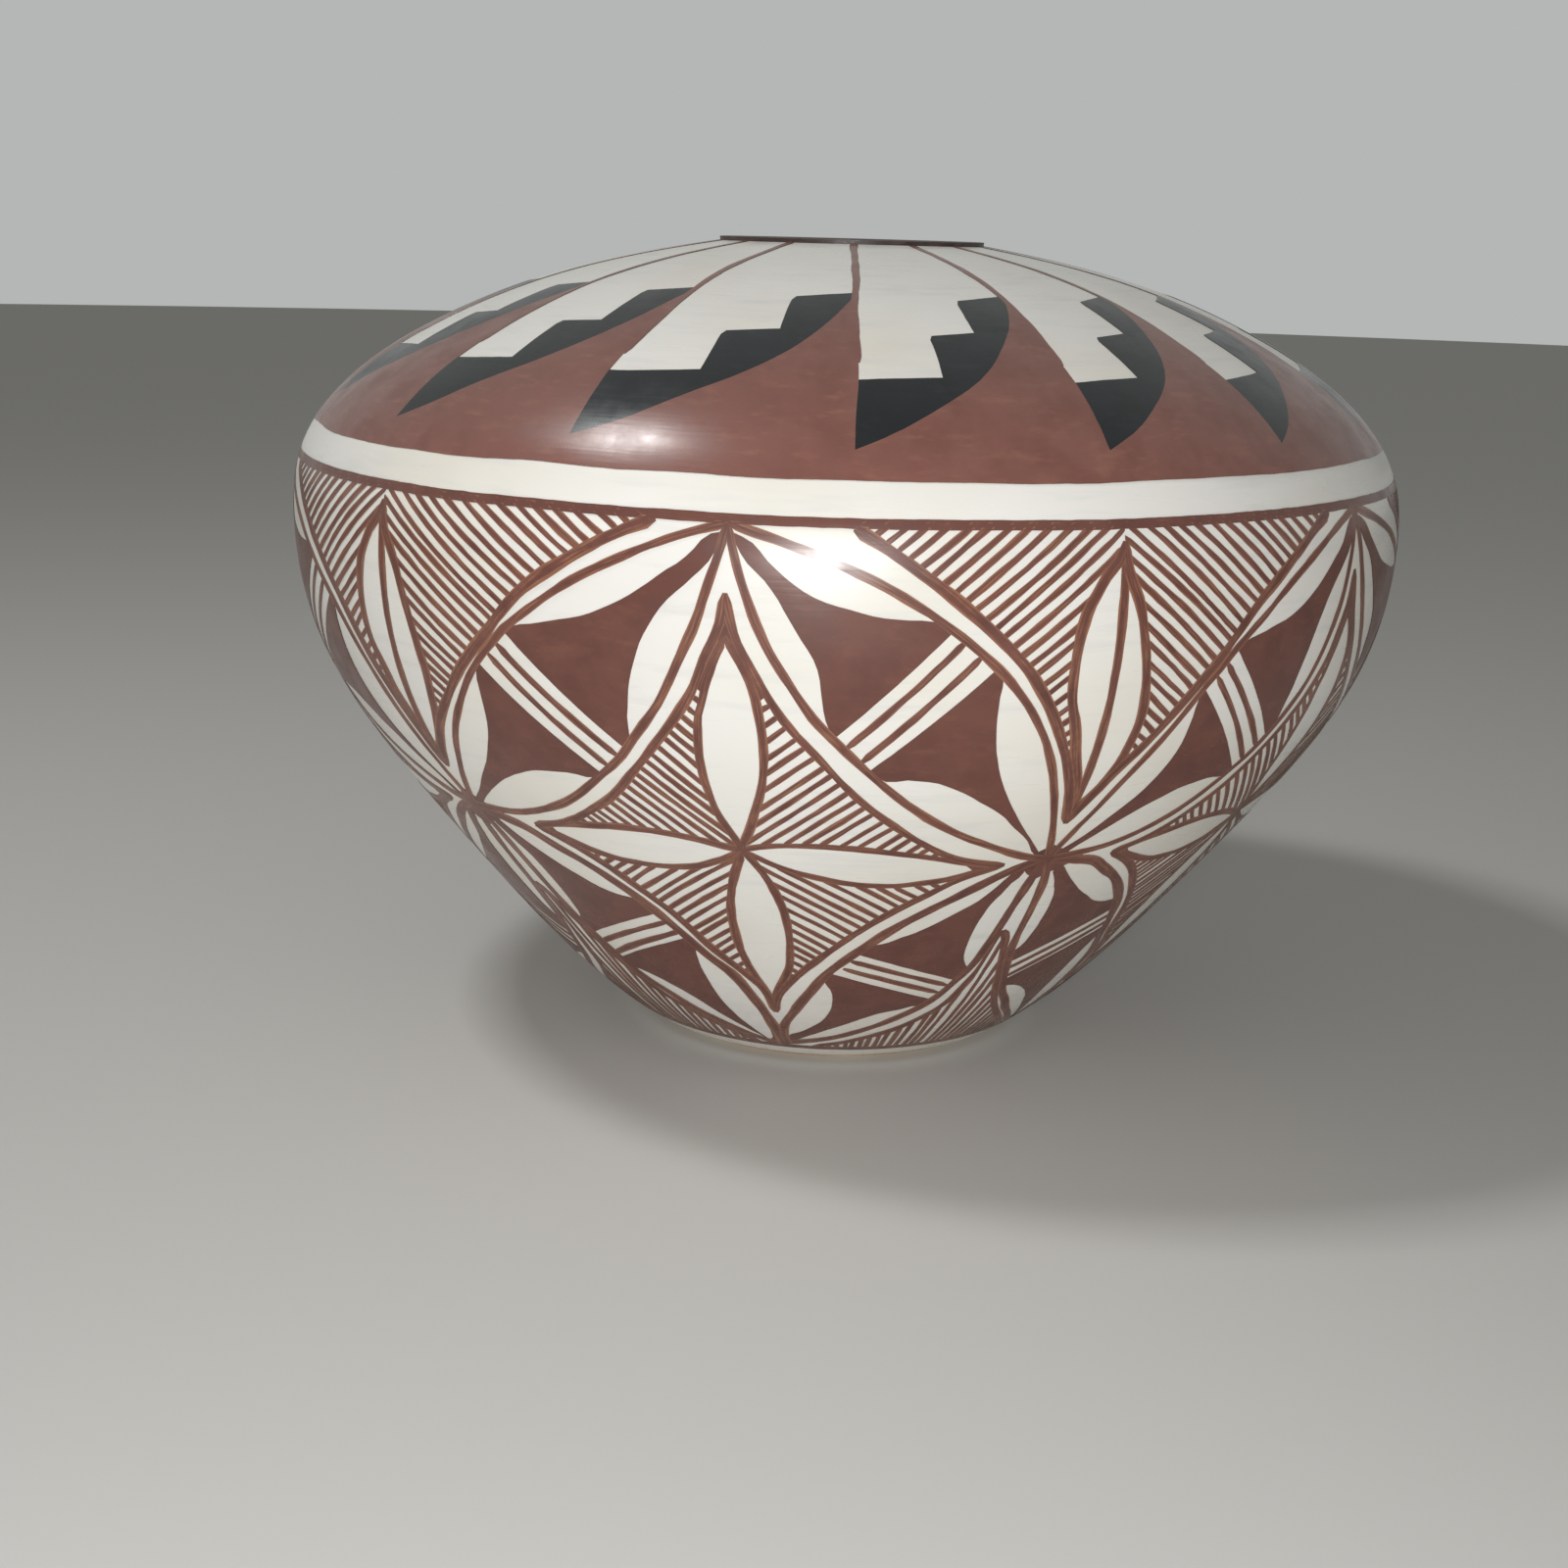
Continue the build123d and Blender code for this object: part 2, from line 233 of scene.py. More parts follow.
@dataclass
class BrushSheet:
    """A flat sheet that stands for one unit of the pattern, laid out before it goes round the wall.

    Its x runs round the jar and its y along the wall, both in millimetres at the reference radius.
    Widths of brush strokes are kept true where the wall is narrower or wider than that.
    """

    wall: WallLine
    turn: float
    low: float
    high: float
    seed: int
    reference_radius: float = 0.080
    step: float = 1.4
    grid: float = 1.9
    margin: float = 1.0
    same_place: float = 0.05
    side_gaps: tuple = (0.4, 0.3)
    cut_tolerance: float = 1e-5
    straight_points: int = 12
    line_points: int = 80
    # How hard a stroke is pressed, how its width swells (share, length), and how it thins at its ends
    press: tuple = (0.9, 1.1)
    swells: tuple = ((0.10, 3.1), (0.06, 1.3))
    end_shape: tuple = (0.45, 0.55)
    end_reach: float = 0.7
    # Hatching: first and last gap as shares of the pitch, shortest stroke, overrun, and the hand's unevenness
    hatch_gaps: tuple = (0.6, 0.3)
    shortest: float = 0.9
    overrun: float = 0.5
    lean: float = 0.12
    bow: float = 0.16
    hatch_points: int = 9
    uneven_pitch: tuple = (0.88, 1.12)
    shapes: list[Shape] = field(default_factory=list)

    def __post_init__(self) -> None:
        """Lay the frame that cuts everything off at the unit's own sides."""
        self.chance = random.Random(self.seed)
        self.reach = math.radians(self.turn) * self.reference_radius / MM
        low, high = self.low / MM - self.margin, self.high / MM + self.margin
        corners = np.array([(0, low), (self.reach, low), (self.reach, high), (0, high)], float)
        sides = [self.straight(corners[i], corners[(i + 1) % 4])[:-1] for i in range(4)]
        self.shapes.append(Shape(np.vstack(sides)))

    def straight(self, start: np.ndarray, end: np.ndarray) -> np.ndarray:
        """Divide a straight side into steps, so that it bends with the wall."""
        return np.linspace(start, end, max(2, int(np.linalg.norm(end - start) / self.step) + 1))

    def place(self, shares: Points) -> np.ndarray:
        """Turn shares of the unit's turn and rise into places on the sheet."""
        rows = np.asarray(shares, float)
        return np.column_stack([
            rows[:, 0] * self.reach, (self.low + rows[:, 1] * (self.high - self.low)) / MM,
        ])

    def stretch(self, y: np.ndarray) -> np.ndarray:
        """How much longer the real way round is than on the sheet, at heights on it."""
        return self.wall.radius_at(np.asarray(y) * MM) / self.reference_radius

    def patch(self, sides: list[Points], piece: Piece | None, rank: int) -> int:
        """Lay a filled patch whose sides are smooth lines.

        Args:
            sides: The sides in order, each a line of shares.
            piece: Whose paint it is, or None for a cell that only bounds hatching.
            rank: Which paint shows where two overlap: the higher.

        Returns:
            The patch's place in the list of shapes.
        """
        rows = []
        for side in sides:
            placed = self.place(side)
            if len(placed) == 2:
                placed = self.straight(*placed)
            else:
                reach = np.linalg.norm(np.diff(placed, axis=0), axis=1).sum()
                placed = smooth_through(placed, max(3, int(reach / self.step)))
            rows.extend(
                placed if not rows else [p for p in placed if np.linalg.norm(p - rows[-1]) > self.same_place]
            )
        if np.linalg.norm(rows[0] - rows[-1]) < self.same_place:
            rows.pop()
        self.shapes.append(Shape(turned_left(np.array(rows)), piece, rank))
        return len(self.shapes) - 1

    def stroke(
        self, line: np.ndarray, width: float, piece: Piece, rank: int, inside: int | None = None,
    ) -> None:
        """Lay one brush stroke.

        Args:
            line: Its middle line on the sheet.
            width: Its real width in millimetres.
            piece: Whose paint it is.
            rank: Which paint shows where two overlap: the higher.
            inside: The cell that it is kept inside, or None.
        """
        factor = self.stretch(line[:, 1])
        real = np.column_stack([(line[:, 0] - line[0, 0]) * factor, line[:, 1]])
        gaps = np.linalg.norm(np.diff(real, axis=0), axis=1)
        ends = np.concatenate([[0], np.cumsum(gaps)])
        count = max(3, int(ends[-1] / self.step) + 1)
        at = np.linspace(0, ends[-1], count)
        middle = np.column_stack([np.interp(at, ends, line[:, 0]), np.interp(at, ends, line[:, 1])])
        factor = self.stretch(middle[:, 1])
        along = np.column_stack([np.gradient(middle[:, 0]) * factor, np.gradient(middle[:, 1])])
        along /= np.linalg.norm(along, axis=1)[:, None]
        press = self.chance.uniform(*self.press)
        waves = [self.chance.uniform(0, math.tau) for _ in self.swells]
        (slow, slow_reach), (quick, quick_reach) = self.swells
        swell = press * (
            1 + slow * np.sin(at / slow_reach + waves[0]) + quick * np.sin(at / quick_reach + waves[1])
        )
        lift = np.clip(np.minimum(at, ends[-1] - at) / (self.end_reach * width), 0, 1)
        half = width / 2 * swell * (self.end_shape[0] + self.end_shape[1] * np.sqrt(lift))
        aside = np.column_stack([-along[:, 1] / factor, along[:, 0]]) * half[:, None]
        outline = np.vstack([middle + aside, (middle - aside)[::-1]])
        self.shapes.append(Shape(
            turned_left(outline), piece, rank, middle, width / 2, self.chance.random(), inside,
        ))

    def line(self, shares: Points, width: float, piece: Piece, rank: int) -> None:
        """Lay a smooth brush line through shares."""
        placed = self.place(shares)
        if len(placed) == 2:
            placed = np.linspace(placed[0], placed[1], self.straight_points)
        self.stroke(smooth_through(placed, self.line_points), width, piece, rank)

    def hatch(self, cell: int, start: tuple, end: tuple, pitch: float, width: float, piece: Piece) -> None:
        """Fill a cell with parallel strokes.

        Args:
            cell: The cell's place in the list of shapes.
            start: Shares of a point that gives the strokes' direction.
            end: Shares of the other point that gives it.
            pitch: Real distance from stroke to stroke in millimetres.
            width: Real width of a stroke in millimetres.
            piece: Whose paint it is.
        """
        outline = self.shapes[cell].outline
        factor = float(self.stretch(outline[:, 1].mean()))
        real = outline * (factor, 1)
        one, two = self.place([start, end]) * (factor, 1)
        along = (two - one) / np.linalg.norm(two - one)
        across = np.array([-along[1], along[0]])
        offsets, runs = real @ across, real @ along
        offset = offsets.min() + pitch * self.hatch_gaps[0]
        while offset < offsets.max() - pitch * self.hatch_gaps[1]:
            met = []
            for i in range(len(real)):
                a, b = offsets[i - 1] - offset, offsets[i] - offset
                if (a < 0) != (b < 0):
                    met.append(runs[i - 1] + (runs[i] - runs[i - 1]) * a / (a - b))
            met.sort()
            for low, high in zip(met[::2], met[1::2]):
                if high - low > self.shortest:
                    low, high = low - self.overrun, high + self.overrun
                    lean = self.chance.uniform(-self.lean, self.lean)
                    bow = self.chance.uniform(-self.bow, self.bow)
                    t = np.linspace(0, 1, self.hatch_points)
                    line = (
                        (low + (high - low) * t)[:, None] * along
                        + (offset + lean * (2 * t - 1) + bow * 4 * t * (1 - t))[:, None] * across
                    )
                    self.stroke(line / (factor, 1), width, piece, 1, cell)
            offset += pitch * self.chance.uniform(*self.uneven_pitch)

    def cut(self) -> dict[Piece, bpy.types.Object]:
        """Cut the sheet into triangles and share them out, so that no two paints overlap.

        Returns:
            Each piece's flat object, its x the share of the unit's turn and its y the length along the wall.
        """
        corners, faces = [], []
        for shape in self.shapes:
            faces.append(list(range(len(corners), len(corners) + len(shape.outline))))
            corners.extend(shape.outline)
        frame_low, frame_high = self.shapes[0].outline.min(0), self.shapes[0].outline.max(0)
        for row, y in enumerate(np.arange(frame_low[1] + self.margin, frame_high[1], self.grid)):
            start = self.side_gaps[0] + (row % 2) * self.grid / 2
            for x in np.arange(start, self.reach - self.side_gaps[1], self.grid):
                corners.append((x, y))
        made = delaunay_2d_cdt([Vector(c) for c in corners], [], faces, 1, self.cut_tolerance, True)
        places = np.array([v[:] for v in made[0]])
        chosen: dict[Piece, list] = {}
        for triangle, owners in zip(made[2], made[5]):
            if 0 not in owners:
                continue
            held = set(owners)
            best = None
            for owner in sorted(held):
                shape = self.shapes[owner]
                if shape.piece and (shape.inside is None or shape.inside in held):
                    if best is None or shape.rank > self.shapes[best].rank:
                        best = owner
            if best is not None:
                layers = sum(1 for o in held if self.shapes[o].centre is not None)
                chosen.setdefault(self.shapes[best].piece, []).append((triangle, best, layers))
        return {piece: self.flat_object(piece, places, rows) for piece, rows in chosen.items()}

    def flat_object(self, piece: Piece, places: np.ndarray, rows: list) -> bpy.types.Object:
        """Make one piece's flat mesh with its brush coordinates.

        Args:
            piece: Which piece.
            places: All corners of the cut sheet.
            rows: Its triangles, with the shape that owns each and the number of strokes over it.

        Returns:
            The flat object.
        """
        used = sorted({i for triangle, _, _ in rows for i in triangle})
        index = {old: new for new, old in enumerate(used)}
        flat = places[used]
        mesh = bpy.data.meshes.new(piece.value + "_coat")
        mesh.from_pydata(
            np.column_stack([flat[:, 0] / self.reach, flat[:, 1] * MM, np.zeros(len(flat))]).tolist(),
            [], [[index[i] for i in triangle] for triangle, _, _ in rows],
        )
        strokes = np.zeros((len(rows) * 3, 3), np.float32)
        owners = np.array([owner for _, owner, _ in rows])
        ends = np.array([places[list(triangle)] for triangle, _, _ in rows])
        for owner in np.unique(owners):
            shape = self.shapes[owner]
            picked = np.flatnonzero(owners == owner)
            if shape.centre is not None:
                found = brush_place(ends[picked].reshape(-1, 2), shape, self.stretch)
                for corner in range(3):
                    strokes[picked * 3 + corner] = found.reshape(-1, 3, 3)[:, corner]
        layer = mesh.attributes.new("stroke", "FLOAT_VECTOR", "CORNER")
        layer.data.foreach_set("vector", strokes.ravel())
        count = mesh.attributes.new("layers", "FLOAT", "FACE")
        count.data.foreach_set("value", np.array([n for _, _, n in rows], np.float32))
        return new_object(piece.value + "_coat", mesh)


def turned_left(outline: np.ndarray) -> np.ndarray:
    """Order an outline so that it runs with its inside on the left."""
    following = np.roll(outline, -1, axis=0)
    area = (outline[:, 0] * following[:, 1] - following[:, 0] * outline[:, 1]).sum()
    return outline if area > 0 else outline[::-1]


def brush_place(
    corners: np.ndarray, shape: Shape, stretch: Callable[[np.ndarray], np.ndarray],
) -> np.ndarray:
    """Find where corners lie in a brush stroke.

    Args:
        corners: Places on the sheet.
        shape: The stroke.
        stretch: How much longer the real way round is, by height on the sheet.

    Returns:
        Rows of millimetres along the stroke, share across it from -1 to 1, and the stroke's own number.
    """
    factor = float(stretch(shape.centre[:, 1].mean()))
    line, points = shape.centre * (factor, 1), corners * (factor, 1)
    start, run = line[:-1], np.diff(line, axis=0)
    lengths = np.linalg.norm(run, axis=1)
    gone = np.concatenate([[0], np.cumsum(lengths)])[:-1]
    away = points[:, None, :] - start[None]
    share = np.clip((away * run).sum(2) / (lengths ** 2), 0, 1)
    gap = away - share[..., None] * run
    nearest = np.linalg.norm(gap, axis=2).argmin(1)
    rows = np.arange(len(points))
    side = run[nearest, 0] * gap[rows, nearest, 1] - run[nearest, 1] * gap[rows, nearest, 0]
    across = np.sign(side) * np.linalg.norm(gap[rows, nearest], axis=1) / shape.half_width
    return np.column_stack([
        gone[nearest] + share[rows, nearest] * lengths[nearest], across, np.full(len(points), shape.tag),
    ])


@dataclass(frozen=True)
class Column:
    """Where one unit of the pattern goes: its start, its signed turn and how far its sides are lifted.

    Angles are in degrees and lifts in millimetres.
    """

    start: float
    turn: float
    lift_near: float = 0.0
    lift_far: float = 0.0


def column_points(name: str, columns: Sequence[Column]) -> bpy.types.Object:
    """Make the points that carry a pattern's units.

    Args:
        name: The object's name.
        columns: Where the units go.

    Returns:
        An object with one point for each unit.
    """
    mesh = bpy.data.meshes.new(name)
    mesh.from_pydata([(math.radians(c.start), 0, 0) for c in columns], [], [])
    for key, values in (
        ("turn", [math.radians(c.turn) for c in columns]),
        ("lift_near", [c.lift_near * MM for c in columns]),
        ("lift_far", [c.lift_far * MM for c in columns]),
    ):
        mesh.attributes.new(key, "FLOAT", "POINT").data.foreach_set("value", values)
    return new_object(name, mesh)


@dataclass
class WallWrap:
    """Geometry Nodes that repeat a flat unit round the jar, wrap it on the wall and give it thickness."""

    wall: WallLine
    lift_low: float
    lift_high: float
    merge_distance: float = 1e-6
    # Drifts of the hand per metre
    sway_scale: float = 40.0
    tremor_scale: float = 420.0
    # A point whose normal has this cosine or less with the way outwards is on a coat's underside
    underside: float = -0.5

    def __post_init__(self) -> None:
        """Make the guide curve and the tree once, for all the coats."""
        self.guide = self.wall.guide()
        self.tree = self.build_tree(self.build_placing())

    def open_group(self, name: str, inputs: tuple, outputs: tuple) -> tuple[Tree, dict[str, Socket]]:
        """Start a node group with named inputs and outputs.

        Args:
            name: The group's name.
            inputs: The name and type of each input.
            outputs: The name and type of each output.

        Returns:
            The group, and its inputs by name.
        """
        tree = bpy.data.node_groups.new(name, "GeometryNodeTree")
        for way, sockets in (("INPUT", inputs), ("OUTPUT", outputs)):
            for label, kind in sockets:
                tree.interface.new_socket(name=label, in_out=way, socket_type="NodeSocket" + kind)
        given = add_node(tree, "NodeGroupInput").outputs
        return tree, {socket.name: socket for socket in given}

    def build_placing(self) -> Tree:
        """Build the group that turns an angle and a length along the wall into a place.

        Returns:
            The group. Its outputs are the place, the way outwards, the radius and the compass direction.
        """
        tree, given = self.open_group(
            "place_on_wall",
            (("Guide", "Geometry"), ("Angle", "Float"), ("Along", "Float")),
            (("Place", "Vector"), ("Outwards", "Vector"), ("Radius", "Float"), ("Compass", "Vector")),
        )
        sample = add_node(tree, "GeometryNodeSampleCurve", {
            "Curves": given["Guide"], "Length": given["Along"],
        }, mode="LENGTH")
        at = add_node(tree, "ShaderNodeSeparateXYZ", {0: sample.outputs["Position"]}).outputs
        along = add_node(tree, "ShaderNodeSeparateXYZ", {0: sample.outputs["Tangent"]}).outputs
        sine = add_node(tree, "ShaderNodeMath", {0: given["Angle"]}, operation="SINE").outputs[0]
        cosine = add_node(tree, "ShaderNodeMath", {0: given["Angle"]}, operation="COSINE").outputs[0]
        back = add_node(tree, "ShaderNodeMath", {0: cosine, 1: -1.0}, operation="MULTIPLY").outputs[0]
        compass = add_node(tree, "ShaderNodeCombineXYZ", {0: sine, 1: back}).outputs[0]
        round_out = add_node(tree, "ShaderNodeVectorMath", {0: compass, "Scale": at[0]}, operation="SCALE")
        up = add_node(tree, "ShaderNodeCombineXYZ", {2: at[2]}).outputs[0]
        place = add_node(tree, "ShaderNodeVectorMath", {0: round_out.outputs[0], 1: up})
        lean = add_node(tree, "ShaderNodeVectorMath", {0: compass, "Scale": along[2]}, operation="SCALE")
        drop = add_node(tree, "ShaderNodeMath", {0: along[0], 1: -1.0}, operation="MULTIPLY").outputs[0]
        tip = add_node(tree, "ShaderNodeCombineXYZ", {2: drop}).outputs[0]
        outwards = add_node(tree, "ShaderNodeVectorMath", {0: lean.outputs[0], 1: tip})
        unit = add_node(tree, "ShaderNodeVectorMath", {0: outwards.outputs[0]}, operation="NORMALIZE")
        add_node(tree, "NodeGroupOutput", {
            "Place": place.outputs[0], "Outwards": unit.outputs[0], "Radius": at[0], "Compass": compass,
        })
        return tree

    def build_tree(self, placing: Tree) -> Tree:
        """Build the wrapping tree.

        Args:
            placing: The group that places a point on the wall.

        Returns:
            The tree. Its named inputs are the sizes of one coat.
        """
        tree, given = self.open_group(
            "coat_round_the_wall",
            (
                ("Unit", "Geometry"), ("Columns", "Object"), ("Second unit", "Object"),
                ("Second columns", "Object"), ("Guide", "Object"), ("Standoff", "Float"),
                ("Thickness", "Float"), ("Hand sway", "Float"), ("Hand tremor", "Float"),
                ("Paint", "Material"),
            ),
            (("Coat", "Geometry"),),
        )
        coat = self.repeat_units(tree, given)
        for name, value in self.find_places(tree, given, placing).items():
            coat = add_node(tree, "GeometryNodeStoreNamedAttribute", {
                "Geometry": coat, "Name": name, "Value": value,
            }, data_type="FLOAT_VECTOR", domain="POINT").outputs[0]
        seat = add_node(tree, "GeometryNodeInputNamedAttribute", {"Name": "seat"}, data_type="FLOAT_VECTOR")
        coat = add_node(tree, "GeometryNodeSetPosition", {
            "Geometry": coat, "Position": seat.outputs[0],
        }).outputs[0]
        skin = self.thicken(tree, coat, given["Thickness"])
        smooth = add_node(tree, "GeometryNodeSetShadeSmooth", {"Geometry": skin}).outputs[0]
        real = add_node(tree, "GeometryNodeRealizeInstances", {"Geometry": smooth}).outputs[0]
        painted = add_node(tree, "GeometryNodeSetMaterial", {
            "Geometry": real, "Material": given["Paint"],
        }).outputs[0]
        add_node(tree, "NodeGroupOutput", {"Coat": painted})
        return tree

    def repeat_units(self, tree: Tree, given: dict[str, Socket]) -> Socket:
        """Repeat the flat units at their columns and turn all their faces up.

        Args:
            tree: The wrapping tree.
            given: Its inputs.

        Returns:
            The flat coat. Its X is the angle round the jar and its Y the length along the wall.
        """
        position = add_node(tree, "GeometryNodeInputPosition").outputs[0]
        across = add_node(tree, "ShaderNodeSeparateXYZ", {0: position}).outputs[0]
        turn = add_node(tree, "GeometryNodeInputNamedAttribute", {"Name": "turn"}, data_type="FLOAT")
        size = add_node(tree, "ShaderNodeCombineXYZ", {0: turn.outputs[0], 1: 1.0, 2: 1.0}).outputs[0]
        second = add_node(tree, "GeometryNodeObjectInfo", {"Object": given["Second unit"]})
        units = add_node(tree, "GeometryNodeJoinGeometry")
        for unit, carriers in (
            (second.outputs["Geometry"], given["Second columns"]), (given["Unit"], given["Columns"]),
        ):
            columns = add_node(tree, "GeometryNodeObjectInfo", {"Object": carriers})
            marked = add_node(tree, "GeometryNodeStoreNamedAttribute", {
                "Geometry": unit, "Name": "unit_share", "Value": across,
            }, data_type="FLOAT", domain="POINT")
            repeats = add_node(tree, "GeometryNodeInstanceOnPoints", {
                "Points": columns.outputs["Geometry"], "Instance": marked.outputs[0], "Scale": size,
            })
            tree.links.new(repeats.outputs[0], units.inputs[0])
        laid = add_node(tree, "GeometryNodeRealizeInstances", {"Geometry": units.outputs[0]}).outputs[0]
        way = add_node(tree, "GeometryNodeInputNormal").outputs[0]
        up = add_node(tree, "ShaderNodeSeparateXYZ", {0: way}).outputs[2]
        under = add_node(tree, "ShaderNodeMath", {0: up, 1: 0.0}, operation="LESS_THAN").outputs[0]
        return add_node(tree, "GeometryNodeFlipFaces", {"Mesh": laid, "Selection": under}).outputs[0]

    def find_places(self, tree: Tree, given: dict[str, Socket], placing: Tree) -> dict[str, Socket]:
        """Find where each point goes, with its column's lift and the hand's drift.

        Args:
            tree: The wrapping tree.
            given: Its inputs.
            placing: The group that places a point on the wall.

        Returns:
            Attributes by name: the place on the wall, the way outwards and the seat in the row frame.
        """
        position = add_node(tree, "GeometryNodeInputPosition").outputs[0]
        flat = add_node(tree, "ShaderNodeSeparateXYZ", {0: position}).outputs
        share, lift_near, lift_far = (
            add_node(tree, "GeometryNodeInputNamedAttribute", {"Name": name}, data_type="FLOAT").outputs[0]
            for name in ("unit_share", "lift_near", "lift_far")
        )
        swell = flat[1]
        for operation, second in (
            ("SUBTRACT", self.lift_low), ("DIVIDE", self.lift_high - self.lift_low),
            ("MULTIPLY", math.pi), ("SINE", 0.0), ("MAXIMUM", 0.0),
        ):
            swell = add_node(tree, "ShaderNodeMath", {0: swell, 1: second}, operation=operation).outputs[0]
        rest = add_node(tree, "ShaderNodeMath", {0: 1.0, 1: share}, operation="SUBTRACT").outputs[0]
        near = add_node(tree, "ShaderNodeMath", {0: lift_near, 1: rest}, operation="MULTIPLY").outputs[0]
        lift = add_node(tree, "ShaderNodeMath", {
            0: lift_far, 1: share, 2: near,
        }, operation="MULTIPLY_ADD").outputs[0]
        lifted = add_node(tree, "ShaderNodeMath", {0: lift, 1: swell}, operation="MULTIPLY").outputs[0]
        along = add_node(tree, "ShaderNodeMath", {0: flat[1], 1: lifted}, operation="ADD").outputs[0]
        guide = add_node(tree, "GeometryNodeObjectInfo", {"Object": given["Guide"]}).outputs["Geometry"]
        first = add_node(tree, "GeometryNodeGroup", {
            "Guide": guide, "Angle": flat[0], "Along": along,
        }, node_tree=placing).outputs

        drift = self.add_drift(tree, given, first["Place"])
        moved = add_node(tree, "ShaderNodeSeparateXYZ", {0: drift}).outputs
        turned = add_node(tree, "ShaderNodeMath", {
            0: moved[0], 1: first["Radius"],
        }, operation="DIVIDE").outputs[0]
        angle = add_node(tree, "ShaderNodeMath", {0: flat[0], 1: turned}, operation="ADD").outputs[0]
        drifted = add_node(tree, "ShaderNodeMath", {0: along, 1: moved[1]}, operation="ADD").outputs[0]
        length = add_node(tree, "ShaderNodeMath", {
            0: drifted, 1: self.wall.length - EDGE_LAP,
        }, operation="MINIMUM").outputs[0]
        final = add_node(tree, "GeometryNodeGroup", {
            "Guide": guide, "Angle": angle, "Along": length,
        }, node_tree=placing).outputs
        away = add_node(tree, "ShaderNodeVectorMath", {
            0: final["Outwards"], "Scale": given["Standoff"],
        }, operation="SCALE").outputs[0]
        seat = add_node(tree, "ShaderNodeVectorMath", {0: final["Place"], 1: away}).outputs[0]
        compass = add_node(tree, "ShaderNodeSeparateXYZ", {0: final["Compass"]}).outputs
        wall_place = add_node(tree, "ShaderNodeCombineXYZ", {0: compass[0], 1: compass[1], 2: length})
        return {"wall_place": wall_place.outputs[0], "outwards": final["Outwards"], "seat": seat}

    def add_drift(self, tree: Tree, given: dict[str, Socket], place: Socket) -> Socket:
        """Work out how far the hand's slow sway and quick tremor carry a point.

        Args:
            tree: The wrapping tree.
            given: Its inputs.
            place: Where the point would be without them.

        Returns:
            The drift round the jar and along the wall.
        """
        drifts = []
        for scale, amount in (
            (self.sway_scale, given["Hand sway"]), (self.tremor_scale, given["Hand tremor"]),
        ):
            noise = add_node(tree, "ShaderNodeTexNoise", {
                "Vector": place, "Scale": scale, "Detail": 1.0,
            }, noise_dimensions="3D").outputs["Color"]
            centred = add_node(tree, "ShaderNodeVectorMath", {
                0: noise, 1: (0.5, 0.5, 0.5),
            }, operation="SUBTRACT").outputs[0]
            drifts.append(add_node(tree, "ShaderNodeVectorMath", {
                0: centred, "Scale": amount,
            }, operation="SCALE").outputs[0])
        sway, tremor = drifts
        return add_node(tree, "ShaderNodeVectorMath", {0: sway, 1: tremor}).outputs[0]

    def thicken(self, tree: Tree, coat: Socket, thickness: Socket) -> Socket:
        """Give a coat its thickness and close it.

        Args:
            tree: The wrapping tree.
            coat: The coat's underside, on the wall.
            thickness: How thick it becomes.

        Returns:
            The closed skin.
        """
        coat = add_node(tree, "GeometryNodeMergeByDistance", {
            "Geometry": coat, "Distance": self.merge_distance,
        }).outputs[0]
        grown = add_node(tree, "GeometryNodeExtrudeMesh", {
            "Mesh": coat, "Offset Scale": 0.0, "Individual": False,
        }, mode="FACES")
        outwards = add_node(
            tree, "GeometryNodeInputNamedAttribute", {"Name": "outwards"}, data_type="FLOAT_VECTOR",
        )
        out = add_node(tree, "ShaderNodeVectorMath", {
            0: outwards.outputs[0], "Scale": thickness,
        }, operation="SCALE")
        raised = add_node(tree, "GeometryNodeSetPosition", {
            "Geometry": grown.outputs["Mesh"], "Selection": grown.outputs["Top"], "Offset": out.outputs[0],
        }).outputs[0]
        back = add_node(tree, "GeometryNodeFlipFaces", {"Mesh": coat}).outputs[0]
        whole = add_node(tree, "GeometryNodeJoinGeometry")
        for part in (back, raised):
            tree.links.new(part, whole.inputs[0])
        return add_node(tree, "GeometryNodeMergeByDistance", {
            "Geometry": whole.outputs[0], "Distance": self.merge_distance,
        }).outputs[0]

    def wrap(
        self, unit: bpy.types.Object, columns: bpy.types.Object, finish: bpy.types.Material,
        standoff: float, thickness: float, sway: float, tremor: float,
        second_unit: bpy.types.Object | None = None, second_columns: bpy.types.Object | None = None,
    ) -> bpy.types.Object:
        """Wrap a flat unit on the wall and leave a plain mesh.

        Args:
            unit: The flat object, which becomes the coat.
            columns: The points that carry its repeats.
            finish: The coat's material.
            standoff: How far its underside lies outside the slip's face.
            thickness: How thick it is.
            sway: How far the hand drifts over a few centimetres.
            tremor: How far it trembles over a few millimetres.
            second_unit: Another flat object of the same coat, or None.
            second_columns: The points that carry its repeats.

        Returns:
            The coat, a closed skin whose shading follows the wall.
        """
        modifier = unit.modifiers.new("coat", "NODES")
        modifier.node_group = self.tree
        values = {
            "Columns": columns, "Guide": self.guide, "Standoff": standoff, "Thickness": thickness,
            "Hand sway": sway, "Hand tremor": tremor, "Paint": finish,
            "Second unit": second_unit, "Second columns": second_columns,
        }
        for item in self.tree.interface.items_tree:
            if item.in_out == "INPUT" and values.get(item.name) is not None:
                modifier[item.identifier] = values[item.name]
        evaluated = unit.evaluated_get(bpy.context.evaluated_depsgraph_get())
        mesh = bpy.data.meshes.new_from_object(evaluated)
        unit.modifiers.clear()
        unit.data = mesh
        mesh.name = unit.name
        outwards = np.zeros(len(mesh.vertices) * 3, np.float32)
        mesh.attributes["outwards"].data.foreach_get("vector", outwards)
